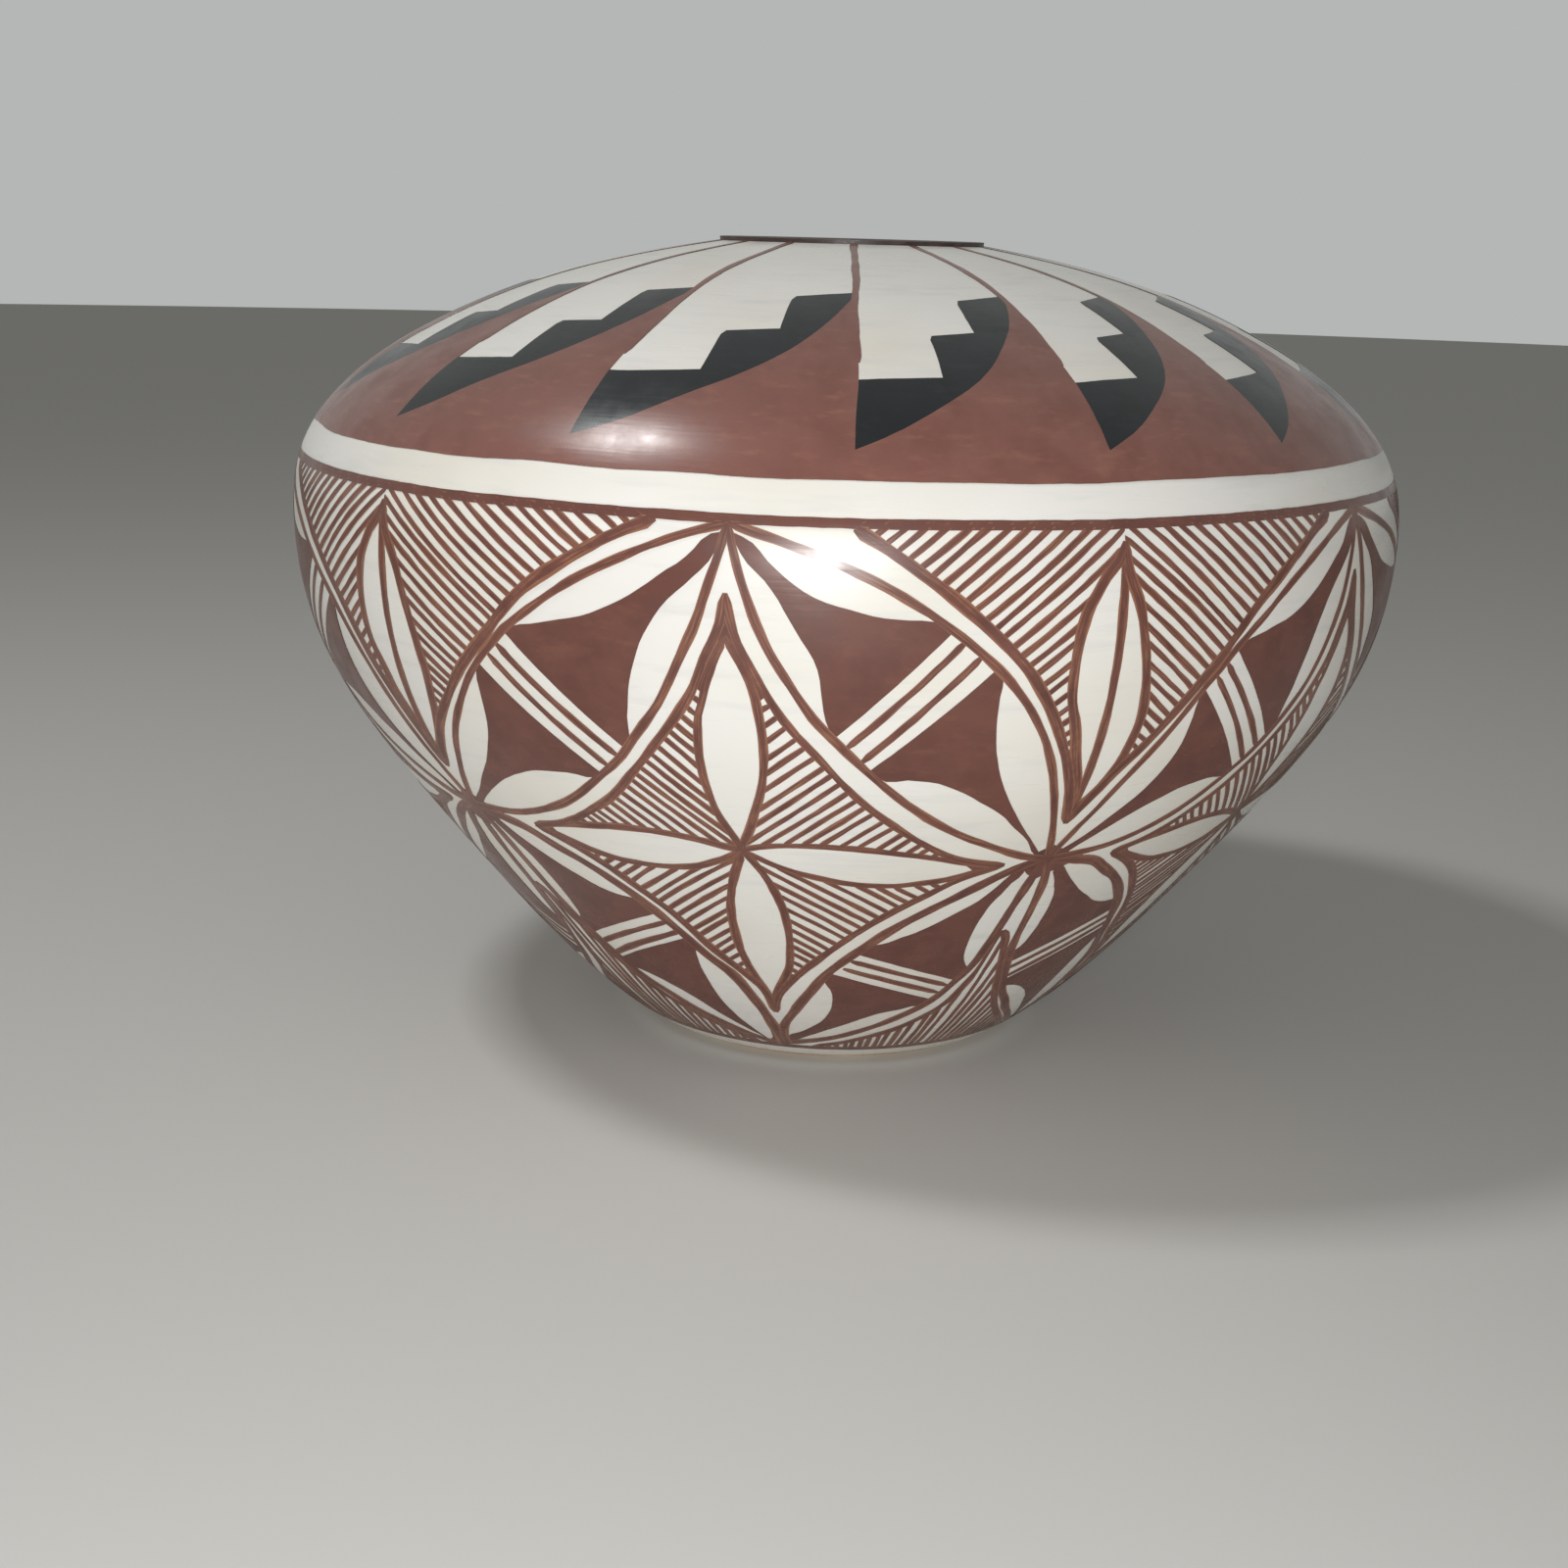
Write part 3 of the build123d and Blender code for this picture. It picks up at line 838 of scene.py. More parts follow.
        own = np.zeros_like(outwards)
        mesh.vertex_normals.foreach_get("vector", own)
        outwards, own = outwards.reshape(-1, 3), own.reshape(-1, 3)
        inner = (outwards * own).sum(1) < self.underside
        outwards[inner] *= -1
        for name in ("seat", "outwards", "unit_share", "turn", "lift_near", "lift_far"):
            if name in mesh.attributes:
                mesh.attributes.remove(mesh.attributes[name])
        mesh.normals_split_custom_set_from_vertices(outwards.tolist())
        return unit

    def clear(self) -> None:
        """Remove the guide once the coats are made."""
        bpy.data.objects.remove(self.guide)


def stretched_noise(tree: Tree, place: Socket, scale: tuple, detail: float, rough: float) -> Socket:
    """Add a noise whose features have a size of their own each way.

    Args:
        tree: The material's tree.
        place: The coordinates.
        scale: Features per unit along each of them.
        detail: How much finer noise is added.
        rough: How strong the finer noise is.

    Returns:
        The noise's value.
    """
    scaled = add_node(tree, "ShaderNodeVectorMath", {0: place, 1: scale}, operation="MULTIPLY").outputs[0]
    return add_node(tree, "ShaderNodeTexNoise", {
        "Vector": scaled, "Scale": 1.0, "Detail": detail, "Roughness": rough,
    }, noise_dimensions="3D").outputs[0]


def relief(tree: Tree, shader: bpy.types.Node, layers: list[tuple[Socket, float]]) -> None:
    """Raise a surface by marks that lie one over another.

    Args:
        tree: The material's tree.
        shader: Its shader.
        layers: Each layer's height from 0 to 1, and its depth in millimetres.
    """
    normal = None
    for height, depth in layers:
        sockets = {"Strength": 1.0, "Distance": depth * MM, "Height": height}
        if normal is not None:
            sockets["Normal"] = normal
        normal = add_node(tree, "ShaderNodeBump", sockets).outputs[0]
    tree.links.new(normal, shader.inputs["Normal"])


@dataclass(frozen=True)
class Marks:
    """Marks in a surface, with the length of each round the jar and its height in millimetres."""

    length: float
    height: float
    detail: float = 2.0
    rough: float = 0.5
    # Metres to one unit of the coordinates round the jar: near the belly's radius for a place on the wall
    unit: float = 0.090

    def on(self, tree: Tree, place: Socket) -> Socket:
        """Lay the marks on a surface.

        Args:
            tree: The material's tree.
            place: The surface's coordinates.

        Returns:
            How strong the marks are, from 0 to 1.
        """
        around = self.unit / (self.length * MM)
        return stretched_noise(tree, place, (around, around, 1 / (self.height * MM)), self.detail, self.rough)


@dataclass(frozen=True)
class Tint:
    """A second colour that shows where a value is high: from where, fully from where, and how strongly."""

    colour: str
    start: float = 0.0
    full: float = 1.0
    most: float = 1.0

    def over(self, tree: Tree, under: Socket | Colour, value: Socket) -> Socket:
        """Lay the tint over a colour.

        Args:
            tree: The material's tree.
            under: The first colour.
            value: The value that the tint follows.

        Returns:
            The mixed colour.
        """
        share = add_node(tree, "ShaderNodeMapRange", {
            0: value, 1: self.start, 2: self.full, 3: 0.0, 4: self.most,
        }, clamp=True)
        return add_node(tree, "ShaderNodeMix", {
            0: share.outputs[0], 6: under, 7: linear(self.colour),
        }, data_type="RGBA").outputs[2]


@dataclass(frozen=True)
class StonePolish:
    """What a polishing stone rubbed round the jar leaves: low facets and fine tracks, in millimetres."""

    facets: Marks = Marks(30.0, 6.667, 1.0)
    facet_depth: float = 0.05
    tracks: Marks = Marks(18.0, 1.111, 2.0, 0.6)
    track_depth: float = 0.016

    def lay(self, tree: Tree, shader: bpy.types.Node, place: Socket) -> None:
        """Lay the facets and the tracks.

        Args:
            tree: The material's tree.
            shader: Its shader.
            place: Coordinates on the wall.
        """
        relief(tree, shader, [
            (self.facets.on(tree, place), self.facet_depth), (self.tracks.on(tree, place), self.track_depth),
        ])


class Finish:
    """What the finishes share: a material of its own and a gloss that varies."""

    name: str
    roughness: float
    # How far the roughness goes below and above its usual value
    gloss_changes: tuple
    # The part of a noise's range over which it does
    gloss_range = (0.3, 0.7)

    def start(self) -> tuple[bpy.types.Material, Tree, bpy.types.Node]:
        """Make the material, and return it with its tree and its shader."""
        material = bpy.data.materials.new(self.name)
        material.use_nodes = True
        return material, material.node_tree, find_node(material.node_tree, "BSDF_PRINCIPLED")

    def vary_gloss(self, tree: Tree, shader: bpy.types.Node, value: Socket) -> None:
        """Let the roughness follow a noise.

        Args:
            tree: The material's tree.
            shader: Its shader.
            value: The noise.
        """
        low, high = (self.roughness + change for change in self.gloss_changes)
        rough = add_node(tree, "ShaderNodeMapRange", {
            0: value, 1: self.gloss_range[0], 2: self.gloss_range[1], 3: low, 4: high,
        }, clamp=True)
        tree.links.new(rough.outputs[0], shader.inputs["Roughness"])


@dataclass(frozen=True)
class PolishedSlip(Finish):
    """Kaolin slip, brushed on and rubbed with a smooth stone: warm white satin, with tracks round the jar."""

    name: str = "stone_polished_kaolin_slip"
    white: str = "EBE9E3"
    warm: Tint = Tint("E3DDCF", 0.45, 0.75, 0.8)
    warm_marks: Marks = Marks(36.0, 35.71, 3.0)
    rubbed: Tint = Tint("DADAD6", 0.52, 0.75, 0.65)
    rubbed_marks: Marks = Marks(20.0, 2.381, 3.0, 0.6)
    roughness: float = 0.31
    gloss_changes: tuple = (-0.08, 0.10)
    gloss_marks: Marks = Marks(22.5, 3.846, 3.0, 0.6)
    ior: float = 1.48
    polish: StonePolish = StonePolish()

    def material(self) -> bpy.types.Material:
        """Build the finish."""
        material, tree, shader = self.start()
        place = add_node(tree, "ShaderNodeAttribute", attribute_name="wall_place").outputs["Vector"]
        colour = self.warm.over(tree, linear(self.white), self.warm_marks.on(tree, place))
        colour = self.rubbed.over(tree, colour, self.rubbed_marks.on(tree, place))
        tree.links.new(colour, shader.inputs["Base Color"])
        self.vary_gloss(tree, shader, self.gloss_marks.on(tree, place))
        shader.inputs["IOR"].default_value = self.ior
        self.polish.lay(tree, shader, place)
        return material


class BrushHand(Enum):
    """How paint was laid: in single strokes, or filled in broadly."""

    STROKE = "stroke"
    BROAD = "broad"


@dataclass(frozen=True)
class MineralPaint(Finish):
    """Ground mineral paint laid with a chewed yucca brush, then fired.

    It is thin at a stroke's edges and where the brush ran dry, and darker where strokes cross.
    """

    name: str
    dense: str
    usual: str
    thin: str
    hand: BrushHand
    roughness: float = 0.27
    unevenness: float = 1.0
    gloss_changes: tuple = (-0.06, 0.08)
    ior: float = 1.5
    polish: StonePolish = StonePolish(facet_depth=0.06, track_depth=0.0192)
    # Where the paint lay thick, and its streaks where it was filled in broadly
    clouds: Marks = Marks(6.429, 6.25, 3.0, 0.6)
    cloud_range: tuple = (0.40, 0.66)
    streaks: Marks = Marks(5.625, 1.613, 3.0, 0.62)
    streak_range: tuple = (0.54, 0.80, 0.55)
    # Hairs of the brush in a stroke: per millimetre along it, per half width across, apart from each other's
    hairs: tuple = (0.16, 2.3, 97.0)
    hair_noise: tuple = (2.0, 0.6)
    hair_share: float = 0.5
    edge_range: tuple = (0.85, 1.30, 0.75)
    dry_range: tuple = (0.50, 0.72, 0.70)
    crossed_range: tuple = (1.0, 3.0, 0.35)

    def thinness(self, tree: Tree, place: Socket) -> Socket:
        """How thin the paint lies.

        Args:
            tree: The material's tree.
            place: Coordinates on the wall.

        Returns:
            A share from 0 to 1.
        """
        if self.hand is BrushHand.STROKE:
            stroke = add_node(tree, "ShaderNodeAttribute", attribute_name="stroke").outputs["Vector"]
            across = add_node(tree, "ShaderNodeSeparateXYZ", {0: stroke}).outputs[1]
            away = add_node(tree, "ShaderNodeMath", {0: across}, operation="ABSOLUTE").outputs[0]
            hairs = stretched_noise(tree, stroke, self.hairs, *self.hair_noise)
            edge = add_node(tree, "ShaderNodeMath", {
                0: hairs, 1: self.hair_share, 2: away,
            }, operation="MULTIPLY_ADD").outputs[0]
            causes = [(edge, self.edge_range), (hairs, self.dry_range)]
        else:
            causes = [(self.streaks.on(tree, place), self.streak_range)]
        shares = [
            add_node(tree, "ShaderNodeMapRange", {
                0: value, 1: start, 2: full, 3: 0.0, 4: most * self.unevenness,
            }, clamp=True).outputs[0]
            for value, (start, full, most) in causes
        ]
        return add_node(tree, "ShaderNodeMath", {
            0: shares[0], 1: shares[-1],
        }, operation="MAXIMUM").outputs[0]

    def material(self) -> bpy.types.Material:
        """Build the finish."""
        material, tree, shader = self.start()
        place = add_node(tree, "ShaderNodeAttribute", attribute_name="wall_place").outputs["Vector"]
        cloud = self.clouds.on(tree, place)
        colour = Tint(self.dense, *self.cloud_range).over(tree, linear(self.usual), cloud)
        colour = Tint(self.thin).over(tree, colour, self.thinness(tree, place))
        layers = add_node(tree, "ShaderNodeAttribute", attribute_name="layers").outputs["Fac"]
        colour = Tint(self.dense, *self.crossed_range).over(tree, colour, layers)
        tree.links.new(colour, shader.inputs["Base Color"])
        self.vary_gloss(tree, shader, cloud)
        shader.inputs["IOR"].default_value = self.ior
        self.polish.lay(tree, shader, place)
        return material


@dataclass(frozen=True)
class OpenClay(Finish):
    """Fired clay left bare inside and under the foot: matt buff with fine sand temper and scraping marks."""

    name: str = "scraped_buff_clay"
    buff: str = "CDB79B"
    pale: Tint = Tint("DCCBB2", 0.4, 0.65)
    temper: Tint = Tint("A68F74", 0.62, 0.72, 0.6)
    roughness: float = 0.82
    clouds: Marks = Marks(16.67, 16.67, 3.0, unit=1.0)
    grit: Marks = Marks(0.625, 0.625, 1.0, unit=1.0)
    grit_depth: float = 0.05
    scrapes: Marks = Marks(33.33, 1.538, unit=1.0)
    scrape_depth: float = 0.12

    def material(self) -> bpy.types.Material:
        """Build the finish."""
        material, tree, shader = self.start()
        place = add_node(tree, "ShaderNodeTexCoord").outputs["Object"]
        grit = self.grit.on(tree, place)
        colour = self.pale.over(tree, linear(self.buff), self.clouds.on(tree, place))
        colour = self.temper.over(tree, colour, grit)
        tree.links.new(colour, shader.inputs["Base Color"])
        shader.inputs["Roughness"].default_value = self.roughness
        relief(tree, shader, [(self.scrapes.on(tree, place), self.scrape_depth), (grit, self.grit_depth)])
        return material


@dataclass(frozen=True)
class LipPaint(Finish):
    """Dark mineral paint wiped round the lip: brown-black, thinner on the crest where hands touch it."""

    name: str = "wiped_dark_lip_paint"
    dark: str = "3A2E2C"
    worn: Tint = Tint("5E463E", 0.48, 0.72, 0.8)
    wear: Marks = Marks(3.846, 1.111, 3.0, 0.6, 1.0)
    wear_depth: float = 0.03
    roughness: float = 0.42
    gloss_changes: tuple = (-0.05, 0.15)

    def material(self) -> bpy.types.Material:
        """Build the finish."""
        material, tree, shader = self.start()
        place = add_node(tree, "ShaderNodeTexCoord").outputs["Object"]
        wear = self.wear.on(tree, place)
        tree.links.new(self.worn.over(tree, linear(self.dark), wear), shader.inputs["Base Color"])
        self.vary_gloss(tree, shader, wear)
        relief(tree, shader, [(wear, self.wear_depth)])
        return material


BROWN_LINES = MineralPaint(
    "brushed_red_brown_mineral_paint", "5F3B34", "744A40", "A57458", BrushHand.STROKE,
)
BROWN_FIELDS = MineralPaint(
    "filled_red_brown_mineral_paint", "643E36", "6F463C", "8A5A48", BrushHand.BROAD, unevenness=0.7,
)
BROWN_GROUND = MineralPaint(
    "red_brown_mineral_wash", "764B41", "80544A", "9A6957", BrushHand.BROAD,
)
BLACK_FEATHERS = MineralPaint(
    "polished_black_mineral_paint", "0B0E11", "11151A", "272C31", BrushHand.BROAD, 0.24, 0.8,
)


def band_grid(piece_name: str, low: float, high: float, around: int, along: int) -> bpy.types.Object:
    """Make a flat band that goes once round the jar.

    Args:
        piece_name: The object's name.
        low: Where it starts along the wall.
        high: Where it ends.
        around: Its cells round the jar.
        along: Its cells along the wall.

    Returns:
        The flat object.
    """
    x, y = np.meshgrid(np.linspace(0, 1, around + 1), np.linspace(low, high, along + 1))
    places = np.column_stack([x.ravel(), y.ravel(), np.zeros(x.size)])
    faces = []
    for row in range(along):
        start = row * (around + 1)
        faces += [(i, i + 1, i + around + 2, i + around + 1) for i in range(start, start + around)]
    mesh = bpy.data.meshes.new(piece_name)
    mesh.from_pydata(places.tolist(), [], faces)
    return new_object(piece_name, mesh)


@dataclass
class SlipSkin:
    """The white slip over the outside, from just above the foot to the lip."""

    wall: WallLine
    wrap: WallWrap
    start_height: float = 0.0016
    depth: float = 0.00028
    cells_around: int = 300
    cells_along: int = 130

    def build(self) -> list[bpy.types.Object]:
        """Build and dress the skin."""
        low, high = self.wall.length_at(self.start_height), self.wall.length - EDGE_LAP
        flat = band_grid("white_slip_coat", low, high, self.cells_around, self.cells_along)
        turn = column_points("whole_turn", [Column(0.0, 360.0)])
        skin = self.wrap.wrap(flat, turn, PolishedSlip().material(), -self.depth, self.depth, 0.0, 0.0)
        bpy.data.objects.remove(turn)
        return [dress(skin, "white_slip")]


@dataclass(frozen=True)
class BrushLine:
    """One line of a drawing: how wide its stroke is in millimetres, and the shares it goes through."""

    width: float
    points: tuple


@dataclass(frozen=True)
class HalfDrawing:
    """One half repeat of the net, from a top node's column to the next middle node's.

    A point is a share of the way between the columns and a share of the way up from the foot line.
    Each edge of a band is a pair of lines, the band's own and the cell's, with white between them.
    """

    upper_outer_band: BrushLine
    upper_outer_cell: BrushLine
    upper_inner_band: BrushLine
    upper_inner_cell: BrushLine
    lower_inner_band: BrushLine
    lower_inner_cell: BrushLine
    lower_outer_band: BrushLine
    lower_outer_cell: BrushLine
    # Flower in each cell, and the leaf that hangs from the top line
    upper_petal: BrushLine
    lower_petal: BrushLine
    side_petal_over: BrushLine
    side_petal_under: BrushLine
    leaf: BrushLine
    leaf_rib: BrushLine
    # Solid fields in the bands, each a cross edge and the hollow sides that meet at a node
    fields: tuple
    # Corners where strokes run together into a spot of full paint
    fills: tuple
    # Lines across each band, between its white stripes
    stripes: tuple
    # Hatching of the cell over the side petal, the one under it, the top cell and the foot cell: two points
    # that give its direction, its pitch and its width
    hatching: tuple
    # How far the top and foot cells run past the edge lines
    beyond: float = 0.01

    def lines(self) -> list[BrushLine]:
        """All the brush lines, in the order they are laid."""
        return [
            self.upper_outer_band, self.upper_outer_cell, self.upper_inner_band, self.upper_inner_cell,
            self.lower_inner_band, self.lower_inner_cell, self.lower_outer_band, self.lower_outer_cell,
            self.upper_petal, self.lower_petal, self.side_petal_over, self.side_petal_under,
            self.leaf, self.leaf_rib, *self.stripes,
        ]

    def cells(self) -> list[list[Points]]:
        """The sides of the four hatched cells."""
        top_start = self.upper_outer_cell.points[0][0]
        foot_start = self.lower_outer_cell.points[-1][0]
        over, under = self.side_petal_over.points, self.side_petal_under.points
        petal, low_petal = self.upper_petal.points, self.lower_petal.points
        inner, low_inner = self.upper_inner_cell.points, self.lower_inner_cell.points
        leaf, outer, low_outer = self.leaf.points, self.upper_outer_cell.points, self.lower_outer_cell.points
        top, foot = 1 + self.beyond, -self.beyond
        return [
            [petal, [petal[-1], inner[0]], inner, over[::-1]],
            [under, low_inner, [low_inner[-1], low_petal[-1]], low_petal[::-1]],
            [[(top_start, top), (1.0, top)], leaf, [leaf[-1], outer[-1]], outer[::-1]],
            [[(foot_start, foot), (1.0, foot)], [(1.0, foot), low_outer[0]], low_outer],
        ]


LEFT_HALF = HalfDrawing(
    upper_outer_band=BrushLine(1.25, (
        (0.0, 1.0), (0.115, 0.981), (0.207, 0.961), (0.303, 0.937), (0.396, 0.91), (0.488, 0.877),
        (0.563, 0.849), (0.627, 0.818), (0.7, 0.777), (0.758, 0.737), (0.816, 0.696), (0.865, 0.656),
        (0.906, 0.615), (0.948, 0.575), (0.975, 0.545), (1.0, 0.52),
    )),
    upper_outer_cell=BrushLine(1.7, (
        (0.172, 1.0), (0.283, 0.974), (0.407, 0.936), (0.526, 0.892), (0.625, 0.839), (0.718, 0.79),
        (0.824, 0.727), (0.901, 0.681), (0.99, 0.603), (1.0, 0.592),
    )),
    upper_inner_band=BrushLine(1.3, (
        (0.0, 1.0), (0.019, 0.96), (0.044, 0.92), (0.068, 0.88), (0.103, 0.839), (0.139, 0.798),
        (0.18, 0.76), (0.24, 0.718), (0.301, 0.677), (0.385, 0.637), (0.481, 0.596), (0.541, 0.576),
        (0.623, 0.556), (0.737, 0.536), (0.836, 0.527), (1.0, 0.52),
    )),
    upper_inner_cell=BrushLine(1.3, (
        (0.0, 0.917), (0.012, 0.88), (0.046, 0.839), (0.076, 0.798), (0.118, 0.76), (0.176, 0.718),
        (0.236, 0.678), (0.301, 0.638), (0.38, 0.597), (0.436, 0.577), (0.497, 0.556), (0.571, 0.536),
        (0.681, 0.518), (0.715, 0.514),
    )),
    lower_inner_cell=BrushLine(1.5, (
        (0.715, 0.514), (0.635, 0.495), (0.563, 0.476), (0.462, 0.436), (0.383, 0.397), (0.309, 0.357),
        (0.255, 0.317), (0.226, 0.297), (0.18, 0.27), (0.128, 0.245), (0.09, 0.225), (0.041, 0.195),
        (0.015, 0.165), (0.0, 0.124),
    )),
    lower_inner_band=BrushLine(2.0, (
        (1.0, 0.52), (0.93, 0.514), (0.85, 0.508), (0.785, 0.502), (0.69, 0.476), (0.615, 0.456),
        (0.504, 0.416), (0.419, 0.376), (0.355, 0.337), (0.294, 0.297), (0.23, 0.258), (0.185, 0.238),
        (0.152, 0.218), (0.113, 0.178), (0.077, 0.138), (0.051, 0.099), (0.03, 0.06), (0.016, 0.02),
        (0.015, -0.01),
    )),
    lower_outer_band=BrushLine(1.7, (
        (1.0, 0.52), (0.965, 0.48), (0.945, 0.44), (0.929, 0.396), (0.912, 0.348), (0.891, 0.302),
        (0.87, 0.276), (0.826, 0.236), (0.771, 0.196), (0.703, 0.16), (0.614, 0.131), (0.528, 0.101),
        (0.431, 0.077), (0.281, 0.042), (0.177, 0.021), (0.09, 0.008), (0.0, 0.0),
    )),
    lower_outer_cell=BrushLine(1.5, (
        (1.0, 0.352), (0.97, 0.335), (0.934, 0.3), (0.849, 0.223), (0.73, 0.145), (0.568, 0.088),
        (0.375, 0.041), (0.231, 0.01), (0.19, 0.0),
    )),
    upper_petal=BrushLine(1.3, (
        (0.0, 0.528), (0.009, 0.542), (0.021, 0.557), (0.038, 0.577), (0.052, 0.597), (0.061, 0.618),
        (0.073, 0.658), (0.077, 0.698), (0.074, 0.738), (0.07, 0.758), (0.058, 0.778), (0.049, 0.798),
        (0.035, 0.818), (0.022, 0.838), (0.0, 0.865),
    )),
    lower_petal=BrushLine(1.3, (
        (0.0, 0.528), (0.01, 0.515), (0.023, 0.498), (0.051, 0.458), (0.072, 0.418), (0.087, 0.378),
        (0.092, 0.338), (0.09, 0.297), (0.085, 0.278), (0.077, 0.258), (0.065, 0.238), (0.049, 0.218),
        (0.021, 0.178), (0.0, 0.16),
    )),
    side_petal_over=BrushLine(1.3, (
        (0.0, 0.528), (0.072, 0.535), (0.123, 0.541), (0.179, 0.545), (0.281, 0.548), (0.383, 0.546),
        (0.486, 0.539), (0.588, 0.53), (0.639, 0.523), (0.715, 0.514),
    )),
    side_petal_under=BrushLine(1.3, (
        (0.0, 0.528), (0.068, 0.504), (0.102, 0.496), (0.136, 0.487), (0.179, 0.481), (0.23, 0.476),
        (0.281, 0.473), (0.383, 0.473), (0.434, 0.474), (0.486, 0.479), (0.537, 0.486), (0.588, 0.496),
        (0.648, 0.507), (0.715, 0.514),
    )),
    leaf=BrushLine(1.6, (
        (1.0, 0.985), (0.985, 0.946), (0.952, 0.915), (0.927, 0.878), (0.904, 0.837), (0.888, 0.797),
        (0.881, 0.758), (0.887, 0.736), (0.906, 0.695), (0.923, 0.675), (0.964, 0.635), (1.0, 0.62),
    )),
    leaf_rib=BrushLine(1.4, ((1.0, 0.985), (1.0, 0.615))),
    fields=(
        (
            ((0.575, 0.842), (0.272, 0.694)),
            (
                (0.272, 0.694), (0.258, 0.712), (0.255, 0.74), (0.248, 0.761), (0.242, 0.78),
                (0.235, 0.8), (0.225, 0.817), (0.215, 0.833), (0.203, 0.85), (0.187, 0.866),
                (0.167, 0.883), (0.143, 0.9), (0.107, 0.918), (0.083, 0.93), (0.059, 0.942),
                (0.035, 0.957), (0.008, 0.99),
            ),
            (
                (0.008, 0.99), (0.042, 0.985), (0.074, 0.968), (0.099, 0.954), (0.131, 0.942),
                (0.171, 0.927), (0.219, 0.909), (0.275, 0.892), (0.323, 0.88), (0.372, 0.871),
                (0.42, 0.865), (0.468, 0.859), (0.516, 0.854), (0.548, 0.85), (0.575, 0.842),
            ),
        ),
        (
            ((0.362, 0.646), (0.672, 0.793)),
            (
                (0.672, 0.793), (0.686, 0.768), (0.685, 0.757), (0.686, 0.737), (0.689, 0.717),
                (0.698, 0.696), (0.714, 0.676), (0.735, 0.656), (0.761, 0.635), (0.794, 0.615),
                (0.831, 0.595), (0.867, 0.575), (0.909, 0.555), (0.951, 0.539), (0.975, 0.53),
            ),
            (
                (0.975, 0.53), (0.946, 0.527), (0.912, 0.537), (0.879, 0.55), (0.837, 0.565),
                (0.791, 0.581), (0.745, 0.596), (0.695, 0.61), (0.645, 0.621), (0.596, 0.631),
                (0.538, 0.636), (0.496, 0.639), (0.446, 0.639), (0.404, 0.637), (0.385, 0.64),
                (0.362, 0.646),
            ),
        ),
        (
            ((0.872, 0.25), (0.385, 0.356)),
            (
                (0.385, 0.356), (0.405, 0.372), (0.453, 0.382), (0.511, 0.383), (0.563, 0.388),
                (0.614, 0.397), (0.656, 0.409), (0.707, 0.422), (0.759, 0.438), (0.801, 0.453),
                (0.844, 0.469), (0.878, 0.484), (0.908, 0.499), (0.945, 0.512),
            ),
            (
                (0.945, 0.512), (0.937, 0.484), (0.912, 0.469), (0.895, 0.454), (0.869, 0.436),
                (0.852, 0.415), (0.842, 0.395), (0.835, 0.375), (0.831, 0.356), (0.828, 0.336),
                (0.831, 0.316), (0.835, 0.302), (0.851, 0.293), (0.88, 0.275), (0.872, 0.25),
            ),
        ),
        (
            ((0.3, 0.305), (0.8, 0.199)),
            (
                (0.8, 0.199), (0.76, 0.186), (0.699, 0.183), (0.639, 0.177), (0.588, 0.169),
                (0.545, 0.159), (0.494, 0.148), (0.46, 0.137), (0.426, 0.127), (0.396, 0.115),
                (0.364, 0.102), (0.325, 0.088), (0.29, 0.077), (0.255, 0.065), (0.22, 0.054),
                (0.177, 0.04), (0.142, 0.03), (0.112, 0.015),
            ),
            (
                (0.112, 0.015), (0.125, 0.025), (0.151, 0.04), (0.186, 0.06), (0.218, 0.079),
                (0.241, 0.099), (0.264, 0.119), (0.279, 0.139), (0.289, 0.159), (0.296, 0.179),
                (0.3, 0.199), (0.304, 0.219), (0.304, 0.239), (0.3, 0.253), (0.294, 0.27),
                (0.285, 0.285), (0.3, 0.305),
            ),
        ),
    ),
    fills=(
        (
            (0.0, 0.865), (0.035, 0.818), (0.049, 0.798), (0.076, 0.798), (0.046, 0.839), (0.012, 0.88),
            (0.0, 0.917),
        ),
        (
            (0.0, 0.16), (0.021, 0.178), (0.049, 0.218), (0.085, 0.222), (0.041, 0.195), (0.015, 0.165),
            (0.0, 0.124),
        ),
        (
            (0.644, 0.517), (0.62, 0.525), (0.715, 0.514), (0.648, 0.507), (0.62, 0.502),
        ),
        (
            (0.85, 0.518), (0.93, 0.532), (1.0, 0.548), (1.0, 0.476), (0.94, 0.492), (0.88, 0.505),
        ),
        (
            (0.0, 0.072), (0.035, 0.075), (0.068, 0.055), (0.072, 0.03), (0.105, 0.012), (0.14, 0.0),
            (0.0, 0.0),
        ),
    ),
    stripes=(
        BrushLine(1.15, ((0.602, 0.823), (0.3, 0.681))),
        BrushLine(1.15, ((0.632, 0.807), (0.335, 0.661))),
        BrushLine(1.15, ((0.825, 0.237), (0.362, 0.337))),
        BrushLine(1.15, ((0.797, 0.212), (0.325, 0.318))),
    ),
    hatching=(
        ((0.0, 0.528), (0.34, 0.7), 1.75, 0.9),
        ((0.0, 0.528), (0.34, 0.4), 1.75, 0.9),
        ((0.6, 0.845), (1.0, 0.985), 1.78, 0.9),
        ((0.8, 0.0), (0.8, 0.3), 1.63, 0.9),
    ),
)

